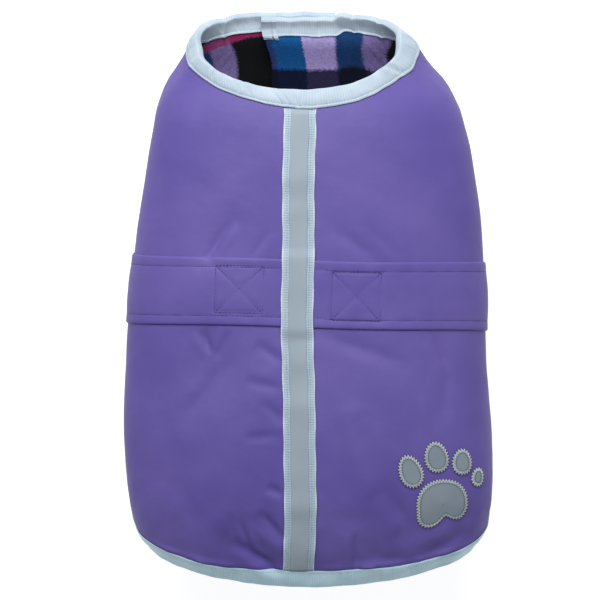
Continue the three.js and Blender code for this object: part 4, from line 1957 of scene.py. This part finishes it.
@dataclass
class PawPatch:
    """A patch of the paw print: place, half sizes and turn, as its solid has them."""

    node: str
    across: float
    along: float
    half_across: float
    half_along: float
    turn: float
    outline: Callable[[Array], tuple[Array, Array]]
    rim_in: float = -0.9

    def rim(self, angle: Array, share: float | Array, grow: float = 0.0) -> tuple[Array, Array]:
        """Places on the outline, drawn in by share and moved out by grow millimetres.

        Args:
            angle: Angles round the patch.
            share: Share of the way out from its centre.
            grow: Distance added, in millimetres.

        Returns:
            Round and down of each place, in millimetres.
        """
        x, y = self.outline(angle)
        px, py = x * self.half_across, y * self.half_along
        wider = share * (1 + grow / np.hypot(px, py))
        px, py = px * wider, py * wider
        turn = math.radians(self.turn)
        a = self.across + px * math.cos(turn) - py * math.sin(turn)
        s = self.along + px * math.sin(turn) + py * math.cos(turn)
        return a, s

    def turns(self, step: float) -> Array:
        """Angles of an even number of places spread evenly round the rim.

        Args:
            step: About how far apart they are, in millimetres.

        Returns:
            The angles, with the first place again at the end.
        """
        fine = np.linspace(0, 2 * math.pi, 721)
        run = along_path(np.stack(self.rim(fine, 1.0), -1))
        count = int(round(run[-1] / step)) // 2 * 2
        return np.interp(np.linspace(0, run[-1], count + 1), run, fine)

    def build(self) -> Object:
        """Make the patch and let it stand for its solid.

        Returns:
            The object.
        """
        angle = np.linspace(0, 2 * math.pi, 72, endpoint=False)[None]
        share = np.array([1, 1, 0.97, 0.9, 0.75, 0.5, 0.25, 0.02, 0.02, 0.5, 0.97])[:, None]
        out = SHELL + GAP + np.array([0, 0.5, 0.85, 0.95, 1, 1, 1, 1, 0, 0, 0])[:, None]
        a, s = self.rim(angle, share, self.rim_in)
        sections = cloth_round(a, s, out + 0 * a)
        rows, around = sections.shape[:2]
        index = np.arange(rows * around).reshape(rows, around)
        ahead = np.roll(index, -1, axis=1)
        following = np.roll(index, -1, axis=0)
        both = np.roll(following, -1, axis=1)
        faces = np.stack([index, following, both, ahead], -1).reshape(-1, 4)
        points = sections.reshape(-1, 3)
        uv = flat_places(a, s).reshape(-1, 2)
        obj = make_object(self.node + "_film", points, outward(points, faces), uv, PATCH_FILM, 60)
        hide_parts(self.node)
        return obj


def oval(angle: Array) -> tuple[Array, Array]:
    """Outline of a toe: an oval a little blunter at one end.

    Args:
        angle: Angles round it.

    Returns:
        Places across and along, as shares of its half sizes.
    """
    return np.cos(angle), np.sin(angle) * (1 - 0.12 * np.sin(angle))


def pad_outline(angle: Array) -> tuple[Array, Array]:
    """Outline of the pad: rounded, hollow in its lower edge, larger at the lower left.

    Args:
        angle: Angles round it.

    Returns:
        Places across and along, as shares of its half sizes.
    """
    angle = np.mod(angle, 2 * math.pi)
    reach = 1 - 0.47 * bell(angle, 1.36, 0.5)
    reach = reach + 0.22 * bell(angle, 2.3, 0.42) + 0.07 * bell(angle, 5.5, 0.5)
    return np.cos(angle) * reach, np.sin(angle) * reach


PAW = (
    PawPatch("paw_toe_1", 82, 311.5, 10, 13.7, -18, oval),
    PawPatch("paw_toe_2", 103.5, 300, 10.3, 12.7, -8, oval),
    PawPatch("paw_toe_3", 125.3, 304, 9, 10.7, 4, oval),
    PawPatch("paw_toe_4", 139.5, 316.5, 6.4, 7.9, 16, oval),
    PawPatch("paw_pad", 107.3, 337, 21.8, 20.3, 0, pad_outline),
)


class Sewing:
    """Stitches: one is modelled, and copies of it are joined along each seam.

    Pitches run from one stitch to the next. The tape's seams lie BESIDE_STRIP off its strip,
    and a thread's middle is SUNK from the face it lies on. ZIGZAG has how far out of the patch's
    rim its outer turns lie and their height, then the same of its inner turns; SHADE_PAD_ROWS has the
    same of the two rows of dark pads, painted shade in the needle holes and along the patch's rim.
    """

    LONG_PITCH = 3.0
    SHORT_PITCH = 2.8
    BESIDE_STRIP = 1.9
    SUNK = 0.12
    ZIGZAG_STEP = 1.35
    ZIGZAG = ((0.4, 0.6), (-2.9, 1.3))
    # Painted shade: these rows of dark pads stand for the shade in the needle holes and along each patch's
    # rim.
    SHADE_PAD_ROWS = ((-3.3, 1.1), (0.1, 0.45))
    SHADE_PAD_HALF = 0.45

    def __init__(self) -> None:
        """Model the one stitch, 1 mm long and thick, along X."""
        bpy.ops.object.select_all(action="DESELECT")
        bpy.ops.mesh.primitive_uv_sphere_add(segments=6, ring_count=5, radius=0.5)
        stitch = bpy.context.object
        bpy.ops.object.mode_set(mode="EDIT")
        bpy.ops.mesh.select_all(action="SELECT")
        bpy.ops.transform.rotate(value=math.pi / 2, orient_axis="Y", center_override=(0, 0, 0))
        bpy.ops.object.mode_set(mode="OBJECT")
        self.points = np.array([tuple(v.co) for v in stitch.data.vertices])
        self.faces = [list(p.vertices) for p in stitch.data.polygons]
        bpy.data.objects.remove(stitch)

    def along(self, path: Array, pitch: float, share: float = 0.8) -> tuple[Array, Array]:
        """Ends of running stitches along a path.

        Args:
            path: Places in millimetres.
            pitch: From one stitch to the next.
            share: How much of the pitch a stitch fills.

        Returns:
            Where each stitch starts and ends.
        """
        run = along_path(path)
        starts = np.arange(0, run[-1] - pitch * share, pitch)
        first, last = (np.stack([np.interp(at, run, values) for values in path.T], -1)
                       for at in (starts, starts + pitch * share))
        return first, last

    def sew(self, name: str, seams: Sequence[tuple[Array, Array]], thick: float, finish: Finish) -> Object:
        """Join a copy of the stitch between each start and end.

        Args:
            name: Name of the object.
            seams: Where the stitches of each seam start, and where they end.
            thick: Thickness of the thread.
            finish: The thread's finish.

        Returns:
            The joined stitches.
        """
        starts, ends = (np.concatenate(part) for part in zip(*seams))
        run = ends - starts
        length = np.linalg.norm(run, axis=1, keepdims=True)
        ahead = run / length
        aside = np.cross(np.array([0.0, 0.0, 1.0]), ahead)
        aside /= np.linalg.norm(aside, axis=1, keepdims=True)
        above = np.cross(ahead, aside)
        middle = (starts + ends) / 2
        base = self.points
        points = (middle[:, None] + base[None, :, :1] * (run[:, None] * 1.08)
                  + base[None, :, 1:2] * (aside[:, None] * thick)
                  + base[None, :, 2:] * (above[:, None] * thick))
        count = len(base)
        faces = [[v + k * count for v in face] for k in range(len(starts)) for face in self.faces]
        mesh = new_mesh(name, points.reshape(-1, 3), faces, finish)
        mesh.update()
        obj = add_object(name, mesh)
        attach(obj, "root")
        LOG.info("%s: %d stitches", name, len(starts))
        return obj

    def band(self, band: BellyBand) -> Object:
        """Both edge seams and the crossed boxes of the belly band.

        Args:
            band: The band they hold.

        Returns:
            The joined stitches.
        """
        seams = []
        over = SHELL + GAP + BAND - self.SUNK
        for w in (band.stitch_in, BAND_LOW - BAND_TOP - band.stitch_in):
            for a1, a2 in band.seams:
                a = np.linspace(a1, a2, 240)
                path = band.place(a, np.full_like(a, w), np.full_like(a, over))
                seams.append(self.along(path, self.LONG_PITCH))
        for box in band.boxes:
            for a1, s1, a2, s2 in box.lines():
                a = np.linspace(a1, a2, 60)
                path = band.place(a, np.linspace(s1, s2, 60) - BAND_TOP, np.full_like(a, over))
                seams.append(self.along(path, self.SHORT_PITCH))
        # The dark purple thread is partly painted shade for the dimple of each stitch.
        return self.sew("band_stitches", seams, 0.55, PURPLE_THREAD_PAINTED_SHADE)

    def tape(self, tape: BackTape) -> Object:
        """A seam down each edge of the back tape.

        Args:
            tape: The tape they hold.

        Returns:
            The joined stitches.
        """
        seams = []
        s = tape.course()
        for side in Side:
            across = np.full_like(s, side.value * (STRIP_WIDTH / 2 + self.BESIDE_STRIP))
            path = tape.place(across, s, tape.start + TAPE + tape.over_band(s) + self.SUNK)
            seams.append(self.along(path, self.SHORT_PITCH))
        return self.sew("tape_stitches", seams, 0.42, PALE_THREAD)

    def binding(self, binding: FoldedBinding, name: str) -> Object:
        """The seam that holds a binding, on its outer face.

        Args:
            binding: The binding it holds.
            name: Name of the object.

        Returns:
            The joined stitches.
        """
        edge, inner = refine(binding.edge, binding.times), refine(binding.inner, binding.times)
        share = (binding.face - binding.lip) / binding.face
        places = edge + (inner - edge) * share
        out = SHELL + FOLD_GAP + BINDING - 0.3 * binding.bulge
        path = cloth(places[:, 0], places[:, 1], np.full(len(places), out))
        return self.sew(name, [self.along(path, self.LONG_PITCH)], 0.5, PALE_THREAD)

    def paw(self, patches: Sequence[PawPatch]) -> Object:
        """Zigzag stitches over the rim of each patch.

        Args:
            patches: The patches they hold.

        Returns:
            The joined stitches.
        """
        seams = []
        for patch in patches:
            angle = patch.turns(self.ZIGZAG_STEP)
            odd = np.arange(len(angle)) % 2 == 1
            grow, height = (np.where(odd, *pair) for pair in zip(*self.ZIGZAG))
            points = cloth_round(*patch.rim(angle, 1.0, grow), SHELL + GAP + height)
            seams.append((points[:-1], points[1:]))
        return self.sew("paw_zigzag", seams, 0.6, GREY_THREAD)

    def paw_holes(self, patches: Sequence[PawPatch]) -> Object:
        """Dark pads of painted shade in the needle holes at the inner turns of the zigzag, and along the
        rim of each patch.

        Args:
            patches: The patches they lie in.

        Returns:
            The joined pads of painted shade.
        """
        seams = []
        for patch in patches:
            each = patch.turns(self.ZIGZAG_STEP)[:-1][::2]
            for away, height in self.SHADE_PAD_ROWS:
                first, last = (cloth_round(*patch.rim(each, 1.0, away + step), SHELL + GAP + height)
                               for step in (-self.SHADE_PAD_HALF, self.SHADE_PAD_HALF))
                seams.append((first, last))
        return self.sew("paw_needle_hole_shade", seams, 0.85, HOLE_SHADE)


@dataclass(frozen=True)
class Lamp:
    """A soft square light: its place and side in metres, and its power in watts."""

    name: str
    place: tuple[float, float, float]
    side: float
    power: float


LAMPS = (
    Lamp("window_light", (-0.14, 1.1, 1.15), 1.0, 32),
    Lamp("side_light", (-1.5, 0.2, 1.6), 1.2, 0.6),
    Lamp("far_light", (1.5, -0.2, 1.6), 1.2, 2.5),
    Lamp("low_light", (0.1, -1.7, 0.8), 1.0, 1.8),
)


@dataclass
class Studio:
    """Pale floor, soft lights and a camera straight above the back."""

    elevation: float = 89.0
    distance: float = 1.8
    width_at_coat: float = 0.492
    target: tuple[float, float, float] = (0.0, 0.002, -0.03)
    floor_height: float = -0.19
    sky_colour: tuple[float, float, float, float] = (0.86, 0.91, 1, 1)
    sky_strength: float = 0.3

    def camera(self) -> None:
        """Place the camera and make it the scene's."""
        data = bpy.data.cameras.new("camera")
        data.sensor_width = 36
        data.lens = 36 * self.distance / self.width_at_coat
        obj = add_object("camera", data)
        turn = math.radians(self.elevation)
        back = Vector((0, -math.cos(turn), math.sin(turn)))
        up = Vector((0, math.sin(turn), math.cos(turn)))
        place = Vector(self.target) + back * self.distance
        side = up.cross(back)
        axes = Matrix((side, up, back)).transposed().to_4x4()
        obj.matrix_world = Matrix.Translation(place) @ axes
        bpy.context.scene.camera = obj

    def light(self, lamp: Lamp) -> None:
        """Add a lamp that looks at the coat.

        Args:
            lamp: The lamp.
        """
        data = bpy.data.lights.new(lamp.name, "AREA")
        data.energy, data.size = lamp.power, lamp.side
        obj = add_object(lamp.name, data)
        obj.location = lamp.place
        look = Vector((0, 0, self.target[2])) - Vector(lamp.place)
        obj.rotation_euler = look.to_track_quat("-Z", "Y").to_euler()

    def build(self) -> None:
        """Make floor, lights, sky and camera."""
        self.camera()
        bpy.ops.object.select_all(action="DESELECT")
        bpy.ops.mesh.primitive_plane_add(size=12, location=(0, 0, 0))
        floor = bpy.context.object
        floor.name = "floor"
        floor.data.transform(Matrix.Translation((0, 0, self.floor_height)))
        floor.data.materials.append(PaleFloor().material())
        for lamp in LAMPS:
            self.light(lamp)
        world = bpy.data.worlds.new("studio_sky")
        world.use_nodes = True
        sky = world.node_tree.nodes["Background"]
        plug(sky, {"Color": self.sky_colour, "Strength": self.sky_strength})
        bpy.context.scene.world = world
        bpy.context.scene.view_settings.view_transform = "Standard"


def main() -> None:
    """Build the studio and the coat."""
    logging.basicConfig(level=logging.INFO, format="%(name)s %(message)s")
    Studio().build()
    shell = Panel("shell_cloth", "shell", "nylon_shell", NYLON, top=SHELL, bottom=0.0,
                  down=2.25, across=7, puff=1.5).build()
    lining = Panel("lining_cloth", "lining", "plaid_fleece", FLEECE, top=-GAP, bottom=-GAP - LINING,
                   down=3.4, across=5).build()
    bindings = Bindings()
    neck, lower = bindings.neck(), bindings.lower()
    neck_ribbon, edge_ribbon = neck.build(BINDING_CLOTH), lower.build(HEM_CLOTH_PAINTED_LIGHT)
    ends = [RibbonEnd("neck_ribbon_end_wide", near=-0.6, far=7.2).build(),
            RibbonEnd("neck_ribbon_end_slim", near=8.2, far=12).build()]
    band = BellyBand()
    band_cloth = band.build()
    tape = BackTape("back_tape_ribbon", "back_tape", "grosgrain_tape", TAPE_CLOTH,
                    width=TAPE_WIDTH, start=SHELL + GAP, thick=TAPE, band=band)
    strip = BackTape("reflective_strip_film", "reflective_strip", "reflective_film", STRIP_FILM,
                     width=STRIP_WIDTH, start=SHELL + TAPE + 2 * GAP, thick=STRIP * 0.6, band=band)
    tape_cloth, strip_film = tape.build(), strip.build()
    films = [patch.build() for patch in PAW]
    sewing = Sewing()
    band_sewing, tape_sewing = sewing.band(band), sewing.tape(tape)
    neck_sewing = sewing.binding(neck, "neck_binding_stitches")
    edge_sewing = sewing.binding(lower, "edge_binding_stitches")
    paw_sewing, paw_holes = sewing.paw(PAW), sewing.paw_holes(PAW)


if __name__ == "__main__":
    main()
